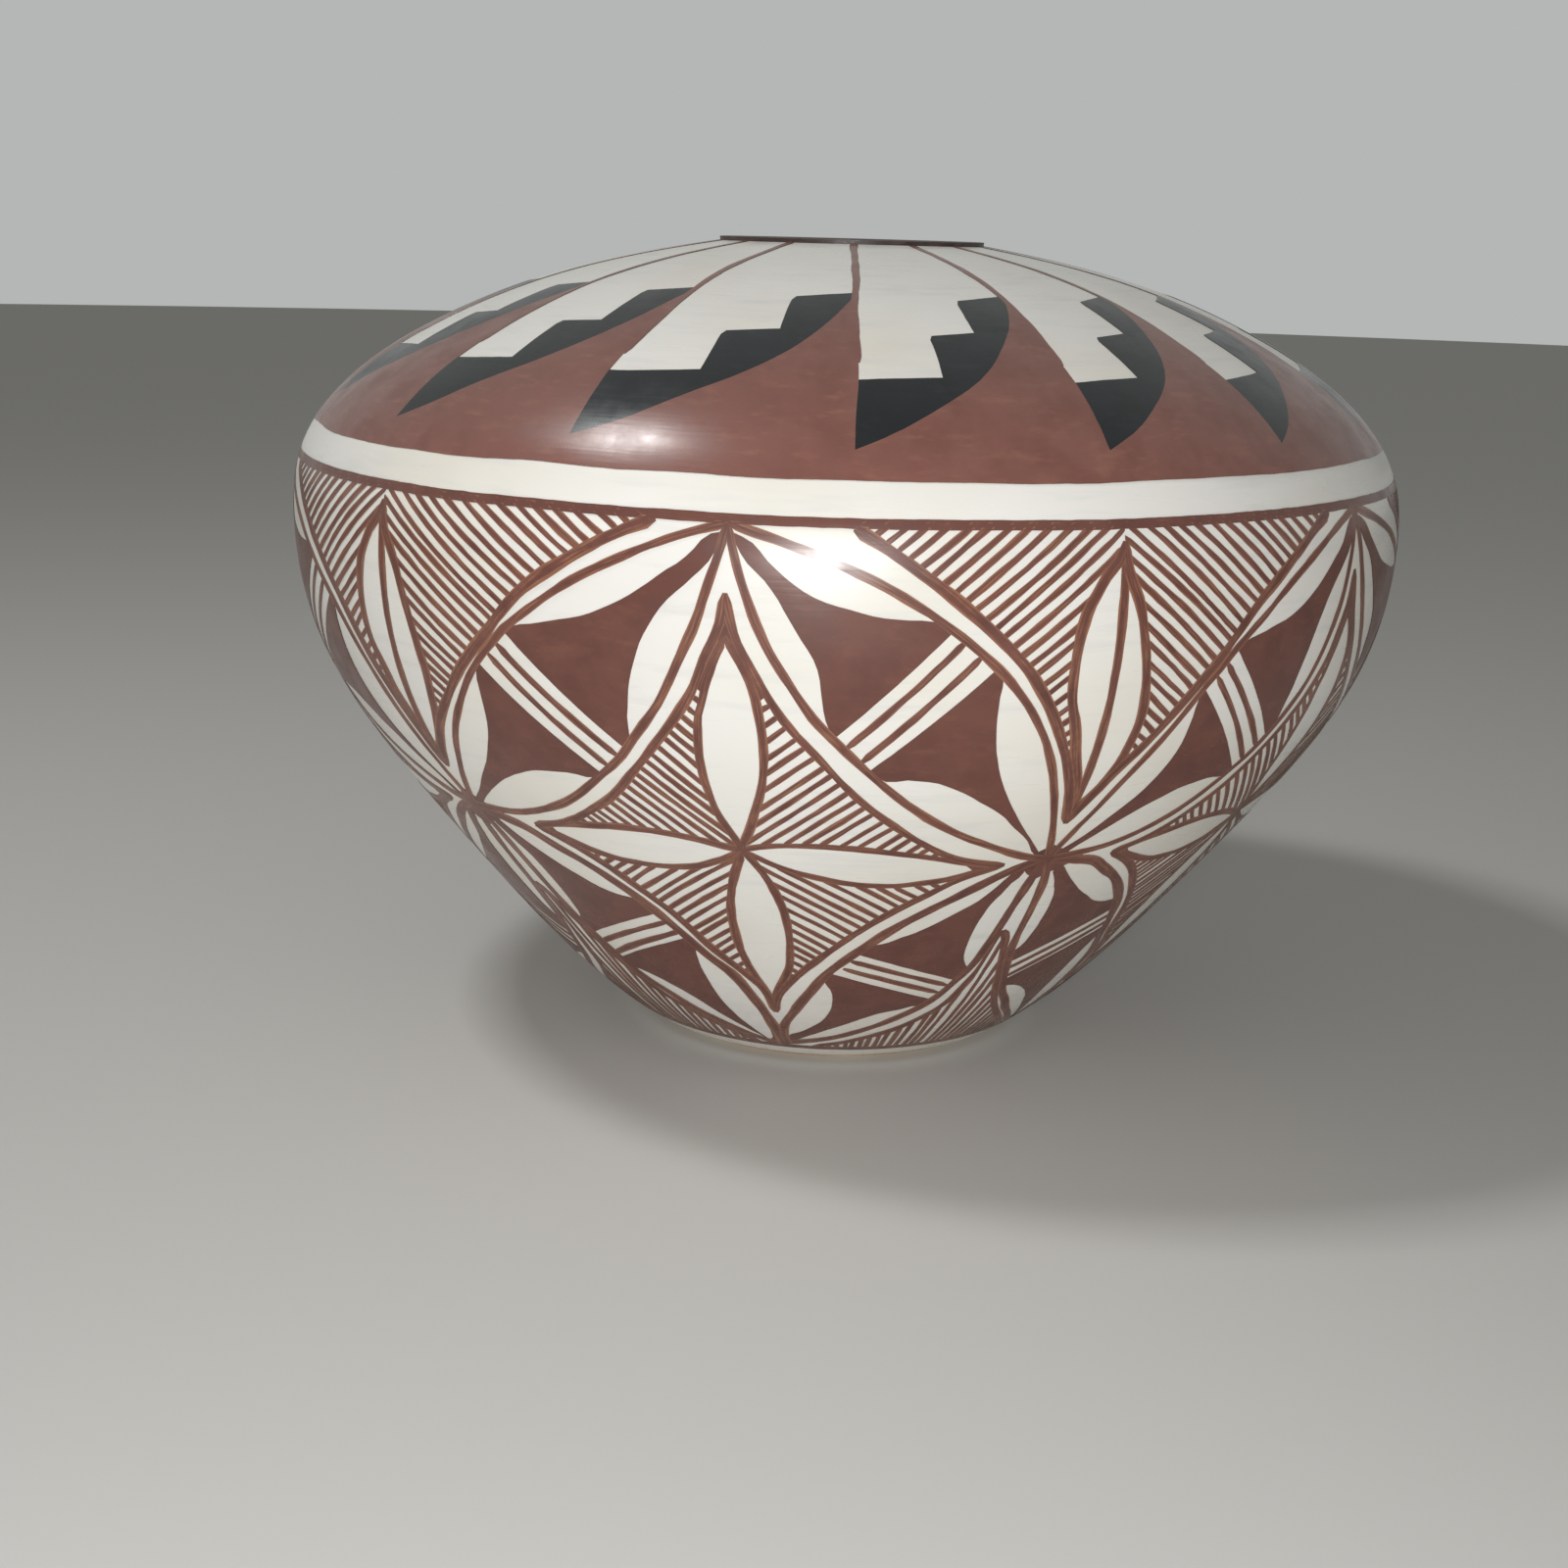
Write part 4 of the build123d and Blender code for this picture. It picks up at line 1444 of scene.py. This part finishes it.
RIGHT_HALF = HalfDrawing(
    upper_outer_band=BrushLine(1.25, (
        (0.0, 1.0), (0.127, 0.982), (0.264, 0.959), (0.389, 0.932), (0.493, 0.903), (0.594, 0.868),
        (0.689, 0.829), (0.781, 0.778), (0.846, 0.727), (0.885, 0.686), (0.945, 0.609), (0.975, 0.566),
        (1.0, 0.52),
    )),
    upper_outer_cell=BrushLine(1.7, (
        (0.31, 1.0), (0.376, 0.981), (0.484, 0.946), (0.582, 0.91), (0.674, 0.871), (0.762, 0.828),
        (0.838, 0.775), (0.893, 0.726), (0.949, 0.668), (0.978, 0.628), (1.0, 0.592),
    )),
    upper_inner_band=BrushLine(1.3, (
        (0.0, 1.0), (0.021, 0.96), (0.047, 0.92), (0.079, 0.88), (0.12, 0.84), (0.172, 0.8),
        (0.222, 0.764), (0.3, 0.722), (0.377, 0.683), (0.464, 0.644), (0.569, 0.605), (0.711, 0.566),
        (0.802, 0.547), (0.904, 0.528), (1.0, 0.52),
    )),
    upper_inner_cell=BrushLine(1.3, (
        (0.0, 0.917), (0.03, 0.86), (0.074, 0.82), (0.142, 0.762), (0.243, 0.702), (0.309, 0.662),
        (0.387, 0.623), (0.487, 0.584), (0.606, 0.545), (0.692, 0.526), (0.794, 0.515), (0.851, 0.512),
    )),
    lower_inner_cell=BrushLine(1.5, (
        (0.851, 0.512), (0.79, 0.501), (0.724, 0.486), (0.607, 0.445), (0.496, 0.404), (0.402, 0.363),
        (0.317, 0.322), (0.23, 0.281), (0.145, 0.24), (0.074, 0.2), (0.021, 0.16), (0.0, 0.124),
    )),
    lower_inner_band=BrushLine(2.0, (
        (1.0, 0.52), (0.93, 0.508), (0.852, 0.487), (0.737, 0.446), (0.625, 0.405), (0.521, 0.364),
        (0.434, 0.323), (0.345, 0.282), (0.264, 0.241), (0.207, 0.201), (0.146, 0.16), (0.087, 0.12),
        (0.029, 0.08), (0.01, 0.05), (0.006, -0.01),
    )),
    lower_outer_band=BrushLine(1.7, (
        (1.0, 0.52), (0.985, 0.48), (0.972, 0.408), (0.971, 0.368), (0.967, 0.327), (0.948, 0.266),
        (0.908, 0.225), (0.859, 0.184), (0.782, 0.146), (0.706, 0.123), (0.596, 0.094), (0.487, 0.072),
        (0.357, 0.048), (0.203, 0.029), (0.033, 0.012), (0.0, 0.008),
    )),
    lower_outer_cell=BrushLine(1.5, (
        (1.0, 0.352), (0.998, 0.3), (0.996, 0.25), (0.983, 0.226), (0.956, 0.185), (0.904, 0.14),
        (0.858, 0.12), (0.795, 0.099), (0.718, 0.077), (0.612, 0.057), (0.487, 0.037), (0.341, 0.017),
        (0.228, 0.006), (0.19, 0.0),
    )),
    upper_petal=BrushLine(1.3, (
        (0.0, 0.528), (0.004, 0.54), (0.023, 0.56), (0.051, 0.6), (0.075, 0.64), (0.089, 0.68),
        (0.093, 0.72), (0.085, 0.76), (0.068, 0.8), (0.051, 0.82), (0.03, 0.84), (0.0, 0.865),
    )),
    lower_petal=BrushLine(1.3, (
        (0.0, 0.528), (0.034, 0.5), (0.074, 0.46), (0.102, 0.42), (0.117, 0.38), (0.122, 0.33),
        (0.119, 0.3), (0.107, 0.26), (0.068, 0.22), (0.042, 0.2), (0.022, 0.18), (0.0, 0.16),
    )),
    side_petal_over=BrushLine(1.3, (
        (0.0, 0.528), (0.03, 0.534), (0.086, 0.541), (0.167, 0.546), (0.314, 0.547), (0.411, 0.544),
        (0.509, 0.538), (0.607, 0.53), (0.672, 0.523), (0.77, 0.515), (0.851, 0.512),
    )),
    side_petal_under=BrushLine(1.3, (
        (0.0, 0.528), (0.03, 0.519), (0.085, 0.504), (0.134, 0.494), (0.216, 0.483), (0.314, 0.473),
        (0.411, 0.469), (0.509, 0.47), (0.598, 0.477), (0.664, 0.483), (0.762, 0.5), (0.827, 0.51),
        (0.851, 0.512),
    )),
    leaf=BrushLine(1.6, (
        (1.0, 0.985), (0.984, 0.963), (0.954, 0.948), (0.926, 0.927), (0.905, 0.909), (0.892, 0.89),
        (0.884, 0.869), (0.88, 0.828), (0.889, 0.789), (0.913, 0.756), (0.935, 0.718), (0.964, 0.68),
        (1.0, 0.62),
    )),
    leaf_rib=BrushLine(1.4, ((1.0, 0.985), (1.0, 0.615))),
    fields=(
        (
            ((0.56, 0.882), (0.275, 0.737)),
            (
                (0.275, 0.737), (0.254, 0.76), (0.247, 0.776), (0.24, 0.801), (0.233, 0.821),
                (0.22, 0.841), (0.195, 0.86), (0.169, 0.88), (0.139, 0.904), (0.119, 0.92),
                (0.083, 0.94), (0.049, 0.956), (0.01, 0.99),
            ),
            (
                (0.01, 0.99), (0.066, 0.977), (0.092, 0.963), (0.135, 0.944), (0.178, 0.928),
                (0.221, 0.916), (0.273, 0.908), (0.333, 0.901), (0.385, 0.896), (0.437, 0.894),
                (0.501, 0.893), (0.54, 0.888), (0.56, 0.882),
            ),
        ),
        (
            ((0.368, 0.688), (0.675, 0.835)),
            (
                (0.675, 0.835), (0.69, 0.826), (0.69, 0.804), (0.69, 0.784), (0.691, 0.765),
                (0.696, 0.745), (0.705, 0.725), (0.732, 0.685), (0.774, 0.646), (0.829, 0.607),
                (0.862, 0.587), (0.896, 0.568), (0.932, 0.548), (0.975, 0.525),
            ),
            (
                (0.975, 0.525), (0.945, 0.53), (0.9, 0.557), (0.858, 0.577), (0.826, 0.59),
                (0.785, 0.61), (0.742, 0.625), (0.7, 0.637), (0.658, 0.651), (0.608, 0.663),
                (0.557, 0.673), (0.507, 0.676), (0.456, 0.676), (0.427, 0.673), (0.395, 0.68),
                (0.368, 0.688),
            ),
        ),
        (
            ((0.915, 0.221), (0.39, 0.302)),
            (
                (0.39, 0.302), (0.434, 0.319), (0.464, 0.324), (0.511, 0.33), (0.56, 0.343),
                (0.609, 0.354), (0.657, 0.368), (0.714, 0.388), (0.754, 0.404), (0.787, 0.417),
                (0.811, 0.427), (0.844, 0.448), (0.868, 0.466), (0.888, 0.484), (0.93, 0.505),
            ),
            (
                (0.93, 0.505), (0.937, 0.486), (0.916, 0.472), (0.896, 0.448), (0.876, 0.427),
                (0.866, 0.407), (0.862, 0.387), (0.859, 0.367), (0.859, 0.346), (0.862, 0.326),
                (0.868, 0.306), (0.88, 0.286), (0.912, 0.264), (0.935, 0.245), (0.915, 0.221),
            ),
        ),
        (
            ((0.29, 0.248), (0.84, 0.168)),
            (
                (0.84, 0.168), (0.79, 0.152), (0.747, 0.153), (0.697, 0.147), (0.609, 0.138),
                (0.511, 0.122), (0.462, 0.112), (0.414, 0.101), (0.366, 0.091), (0.317, 0.081),
                (0.268, 0.071), (0.219, 0.059), (0.163, 0.047), (0.114, 0.035), (0.065, 0.022),
                (0.024, 0.014),
            ),
            (
                (0.024, 0.014), (0.041, 0.043), (0.089, 0.054), (0.146, 0.067), (0.203, 0.085),
                (0.247, 0.1), (0.28, 0.12), (0.3, 0.14), (0.308, 0.16), (0.31, 0.18), (0.304, 0.194),
                (0.292, 0.206), (0.276, 0.215), (0.262, 0.235), (0.29, 0.248),
            ),
        ),
    ),
    fills=(
        (
            (0.0, 0.865), (0.03, 0.84), (0.051, 0.82), (0.068, 0.8), (0.079, 0.78), (0.105, 0.792),
            (0.074, 0.82), (0.03, 0.86), (0.0, 0.917),
        ),
        (
            (0.0, 0.16), (0.022, 0.18), (0.042, 0.2), (0.068, 0.22), (0.092, 0.24), (0.145, 0.24),
            (0.112, 0.221), (0.074, 0.2), (0.049, 0.18), (0.021, 0.16), (0.0, 0.124),
        ),
        (
            (0.745, 0.503), (0.7, 0.519), (0.77, 0.515), (0.851, 0.512), (0.827, 0.51), (0.762, 0.5),
            (0.73, 0.495),
        ),
        (
            (0.915, 0.505), (0.955, 0.535), (1.0, 0.548), (1.0, 0.476), (0.955, 0.487),
        ),
        (
            (0.0, 0.075), (0.012, 0.05), (0.02, 0.03), (0.05, 0.018), (0.02, 0.0), (0.0, 0.0),
        ),
    ),
    stripes=(
        BrushLine(1.15, ((0.59, 0.869), (0.305, 0.722))),
        BrushLine(1.15, ((0.634, 0.851), (0.347, 0.702))),
        BrushLine(1.15, ((0.87, 0.21), (0.378, 0.282))),
        BrushLine(1.15, ((0.84, 0.19), (0.345, 0.262))),
    ),
    hatching=(
        ((0.0, 0.528), (0.34, 0.678), 2.0, 0.9),
        ((0.0, 0.528), (0.34, 0.426), 1.9, 0.9),
        ((0.6, 0.845), (1.0, 1.005), 1.86, 0.9),
        ((0.8, 0.0), (0.8, 0.3), 1.63, 0.9),
    ),
)


@dataclass
class NetPaint:
    """The net of crossing bands under the plain band: lines, solid fields, hatching and both edge lines."""

    wall: WallLine
    wrap: WallWrap
    foot_height: float = 0.0044
    top_height: float = 0.0986
    edge_line_width: float = 1.3
    standoff: float = 0.00001
    coat: float = 0.00009
    sway: float = 0.0005
    tremor: float = 0.00022
    unit_turn: float = 36.0
    seeds: tuple = (7, 8)
    edge_cells: tuple = (720, 2)
    left_columns: tuple = (
        Column(-9.5, -36.5, 0.2, 0.6), Column(55.5, -31.0, 0.0, -1.0), Column(129.0, -37.0, 0.5, 0.4),
        Column(203.0, -37.0, -0.4, -0.6), Column(277.0, -37.0, 0.6, 0.8),
    )
    right_columns: tuple = (
        Column(-9.5, 34.0, 0.2, -1.0), Column(55.5, 36.5, 0.0, 0.4), Column(129.0, 37.0, 0.5, -0.6),
        Column(203.0, 37.0, -0.4, 0.8), Column(277.0, 37.0, 0.6, 0.6),
    )

    def draw(self, half: HalfDrawing, seed: int) -> BrushSheet:
        """Draw one half repeat on a sheet.

        Args:
            half: The drawing.
            seed: The hand's unevenness.

        Returns:
            The sheet.
        """
        low, high = self.wall.length_at(self.foot_height), self.wall.length_at(self.top_height)
        sheet = BrushSheet(self.wall, self.unit_turn, low, high, seed)
        for sides, (start, end, pitch, width) in zip(half.cells(), half.hatching):
            sheet.hatch(sheet.patch(sides, None, 0), start, end, pitch, width, Piece.HATCHING)
        for sides in half.fields:
            sheet.patch(sides, Piece.FIELDS, 2)
        for corners in half.fills:
            sheet.patch(list(zip(corners, corners[1:] + corners[:1])), Piece.LINES, 2)
        for line in half.lines():
            sheet.line(line.points, line.width, Piece.LINES, 3)
        return sheet

    def build(self) -> list[bpy.types.Object]:
        """Build and dress the net's pieces."""
        lines, fields = BROWN_LINES.material(), BROWN_FIELDS.material()
        finishes = {Piece.LINES: lines, Piece.FIELDS: fields, Piece.HATCHING: lines}
        carriers = [column_points("net_columns", c) for c in (self.left_columns, self.right_columns)]
        left, right = (
            self.draw(half, seed).cut() for half, seed in zip((LEFT_HALF, RIGHT_HALF), self.seeds)
        )
        made = []
        for piece, finish in finishes.items():
            coat = self.wrap.wrap(
                left[piece], carriers[0], finish, self.standoff, self.coat, self.sway, self.tremor,
                right[piece], carriers[1],
            )
            bpy.data.objects.remove(right[piece])
            made.append(dress(coat, None if piece is Piece.HATCHING else piece.value))
        for carrier in carriers:
            bpy.data.objects.remove(carrier)
        turn = column_points("whole_turn", [Column(0.0, 360.0)])
        low, high = self.wall.length_at(self.foot_height), self.wall.length_at(self.top_height)
        width = self.edge_line_width * MM
        for piece, start, end in (
            (Piece.TOP_LINE, high - EDGE_LAP, high + width), (Piece.FOOT_LINE, low - width, low + EDGE_LAP),
        ):
            flat = band_grid(piece.value + "_coat", start, end, *self.edge_cells)
            coat = self.wrap.wrap(flat, turn, fields, self.standoff, self.coat, self.sway, self.tremor)
            made.append(dress(coat, piece.value))
        bpy.data.objects.remove(turn)
        return made


@dataclass
class ShoulderPaint:
    """The ring of feathers on the shoulder: a red-brown ground, lines up to the lip and black stepped tips.

    The drawing is one feather's sector. A point is a share of its turn and a share of the way from the
    ground's lower edge to the lip.
    """

    wall: WallLine
    wrap: WallWrap
    ground_height: float = 0.1045
    line_width: float = 1.05
    standoff: float = 0.00001
    coat: float = 0.00009
    sway: float = 0.0016
    tremor: float = 0.0002
    starts: tuple = (-50.0, -26.0, 1.0, 25.0, 47.0)
    last: float = 310.0
    count: int = 15
    seed: int = 11
    rib_shares: tuple = (0.30, 0.65, 1.01)
    sickle: tuple = (
        (0.0, 0.065), (0.1, 0.09), (0.2, 0.12), (0.3, 0.157), (0.4, 0.195), (0.5, 0.233), (0.6, 0.278),
        (0.7, 0.332), (0.8, 0.398), (0.9, 0.475), (1.0, 0.573),
    )
    steps: tuple = (
        (1.0, 0.588), (0.66, 0.562), (0.645, 0.545), (0.643, 0.417), (0.395, 0.402), (0.381, 0.388),
        (0.379, 0.259), (0.0, 0.243),
    )

    def draw(self) -> BrushSheet:
        """Draw one feather's sector on the sheet."""
        low = self.wall.length_at(self.ground_height)
        sheet = BrushSheet(self.wall, 360 / self.count, low, self.wall.length, self.seed)
        top = self.sickle[-1]
        sheet.patch([[(0.0, 0.0), (1.0, 0.0)], [(1.0, 0.0), top], self.sickle[::-1]], Piece.GROUND, 1)
        stairs = zip(self.steps, self.steps[1:])
        sheet.patch([self.sickle, [top, self.steps[0]], *stairs], Piece.TIPS, 2)
        for side in (0.0, 1.0):
            sheet.line([(side, up) for up in self.rib_shares], self.line_width, Piece.GROUND, 3)
        return sheet

    def columns(self) -> list[Column]:
        """The feathers' sectors round the jar."""
        spaced = self.count + 1 - len(self.starts)
        rest = np.linspace(self.starts[-1], self.last, spaced + 1)[1:]
        edges = [*self.starts, *rest]
        return [Column(low, high - low) for low, high in zip(edges, edges[1:])]

    def build(self) -> list[bpy.types.Object]:
        """Build and dress the shoulder's pieces."""
        finishes = {Piece.GROUND: BROWN_GROUND.material(), Piece.TIPS: BLACK_FEATHERS.material()}
        carriers = column_points("feather_columns", self.columns())
        made = []
        for piece, flat in self.draw().cut().items():
            coat = self.wrap.wrap(
                flat, carriers, finishes[piece], self.standoff, self.coat, self.sway, self.tremor,
            )
            made.append(dress(coat, piece.value))
        bpy.data.objects.remove(carriers)
        return made


def dress(piece: bpy.types.Object, node: str | None) -> bpy.types.Object:
    """Put a finished piece in the frame.

    Args:
        piece: The piece.
        node: The part's solid that it stands for, or None if it is the scene's own.

    Returns:
        The piece.
    """
    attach(piece, "root")
    if node:
        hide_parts(node)
    return piece


@dataclass
class ClayBody:
    """The coiled clay courses and the lip, which keep the part's own solids."""

    lip: str = "rim_line"
    painted: tuple = (
        "white_slip", "shoulder_ground", "feather_tips", "net_lines", "net_fields", "net_top_line",
        "net_foot_line",
    )

    def build(self) -> list[bpy.types.Object]:
        """Dress the solids that stay."""
        clay, lip = OpenClay().material(), LipPaint().material()
        made = []
        for name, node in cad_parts.items():
            if name in self.painted:
                continue
            for place in node.material_slots:
                place.material = lip if name == self.lip else clay
            made.append(node)
        return made


@dataclass(frozen=True)
class Softbox:
    """A square lamp: where it hangs, what it points at, its side and its power in watts."""

    name: str
    place: tuple
    target: tuple
    size: float
    power: float


@dataclass
class Studio:
    """A plain pale floor, soft lamps and the camera."""

    softboxes: tuple = (
        Softbox("front_softbox", (-0.02, -0.46, 0.125), (0.0, 0.0, 0.09), 0.07, 1.10),
        Softbox("overhead_softbox", (-0.31, -0.09, 0.64), (0.0, 0.0, 0.08), 0.10, 1.35),
    )
    floor_radius: float = 3.0
    floor_sides: int = 96
    floor_roughness: float = 0.9
    floor_colour: str = "D2D1CD"
    room_colour: str = "D8D7D3"
    room_strength: float = 0.26
    backdrop_colour: str = "B4B7B5"
    focal_pixels: float = 2214.0
    image_pixels: float = 1600.0
    sensor: float = 36.0
    eye: tuple = (0.0, -0.379, 0.1371)
    pan: float = -1.36
    pitch: float = 14.43
    roll: float = 1.55
    clip: tuple = (0.01, 20.0)

    def build(self) -> None:
        """Build the floor, the lamps, the world and the camera."""
        self.floor()
        self.world()
        for softbox in self.softboxes:
            self.lamp(softbox)
        self.camera()

    def floor(self) -> None:
        """Make the floor, a plain pale disc."""
        mesh = bpy.data.meshes.new("floor")
        ring = [(self.floor_radius * math.cos(a), self.floor_radius * math.sin(a), 0.0)
                for a in np.linspace(0, math.tau, self.floor_sides + 1)[:-1]]
        mesh.from_pydata(ring, [], [list(range(len(ring)))])
        made = new_object("floor", mesh)
        material = bpy.data.materials.new("matt_painted_board")
        material.use_nodes = True
        shader = find_node(material.node_tree, "BSDF_PRINCIPLED")
        shader.inputs["Base Color"].default_value = linear(self.floor_colour)
        shader.inputs["Roughness"].default_value = self.floor_roughness
        mesh.materials.append(material)

    def world(self) -> None:
        """Light the room evenly, and show a plain pale backdrop to the camera and to reflections."""
        world = bpy.data.worlds.new("soft_room")
        bpy.context.scene.world = world
        world.use_nodes = True
        tree = world.node_tree
        out, room = find_node(tree, "OUTPUT_WORLD"), find_node(tree, "BACKGROUND")
        room.inputs["Color"].default_value = linear(self.room_colour)
        room.inputs["Strength"].default_value = self.room_strength
        seen = add_node(tree, "ShaderNodeBackground", {
            "Color": linear(self.backdrop_colour), "Strength": 1.0,
        })
        path = add_node(tree, "ShaderNodeLightPath").outputs
        share = path["Is Camera Ray"]
        for ray in ("Is Glossy Ray", "Is Transmission Ray"):
            share = add_node(tree, "ShaderNodeMath", {
                0: share, 1: path[ray],
            }, operation="ADD", use_clamp=True).outputs[0]
        mixed = add_node(tree, "ShaderNodeMixShader", {0: share, 1: room.outputs[0], 2: seen.outputs[0]})
        tree.links.new(mixed.outputs[0], out.inputs["Surface"])

    def lamp(self, softbox: Softbox) -> None:
        """Hang a softbox."""
        data = bpy.data.lights.new(softbox.name, "AREA")
        data.shape, data.size, data.energy = "SQUARE", softbox.size, softbox.power
        made = new_object(softbox.name, data)
        made.location = softbox.place
        made.rotation_mode = "QUATERNION"
        aim = Vector(softbox.target) - Vector(softbox.place)
        made.rotation_quaternion = aim.to_track_quat("-Z", "Y")

    def camera(self) -> None:
        """Set the camera where the photograph was taken from."""
        pan, pitch, roll = (math.radians(a) for a in (self.pan, self.pitch, self.roll))
        forward = Vector((math.sin(pan) * math.cos(pitch), math.cos(pan) * math.cos(pitch), -math.sin(pitch)))
        level = Vector((math.cos(pan), -math.sin(pan), 0.0))
        upright = level.cross(forward)
        right = level * math.cos(roll) + upright * math.sin(roll)
        up = upright * math.cos(roll) - level * math.sin(roll)
        data = bpy.data.cameras.new("camera")
        data.sensor_width = self.sensor
        data.lens = self.focal_pixels / self.image_pixels * self.sensor
        data.clip_start, data.clip_end = self.clip
        made = new_object("camera", data)
        rotation = Matrix((right, up, -forward)).transposed()
        made.matrix_world = Matrix.Translation(self.eye) @ rotation.to_4x4()
        bpy.context.scene.camera = made


def main() -> None:
    """Build the jar's coats round the packed clay, then the studio."""
    logging.basicConfig(level=logging.INFO, format="%(name)s %(message)s")
    bpy.context.scene.view_settings.view_transform = "Standard"
    wall = WallLine()
    net = NetPaint.foot_height, NetPaint.top_height
    wrap = WallWrap(wall, wall.length_at(net[0]), wall.length_at(net[1]))
    for coat in (ClayBody(), SlipSkin(wall, wrap), NetPaint(wall, wrap), ShoulderPaint(wall, wrap)):
        for piece in coat.build():
            log.info("%s: %d faces", piece.name, len(piece.data.polygons))
    wrap.clear()
    Studio().build()


if __name__ == "__main__":
    main()
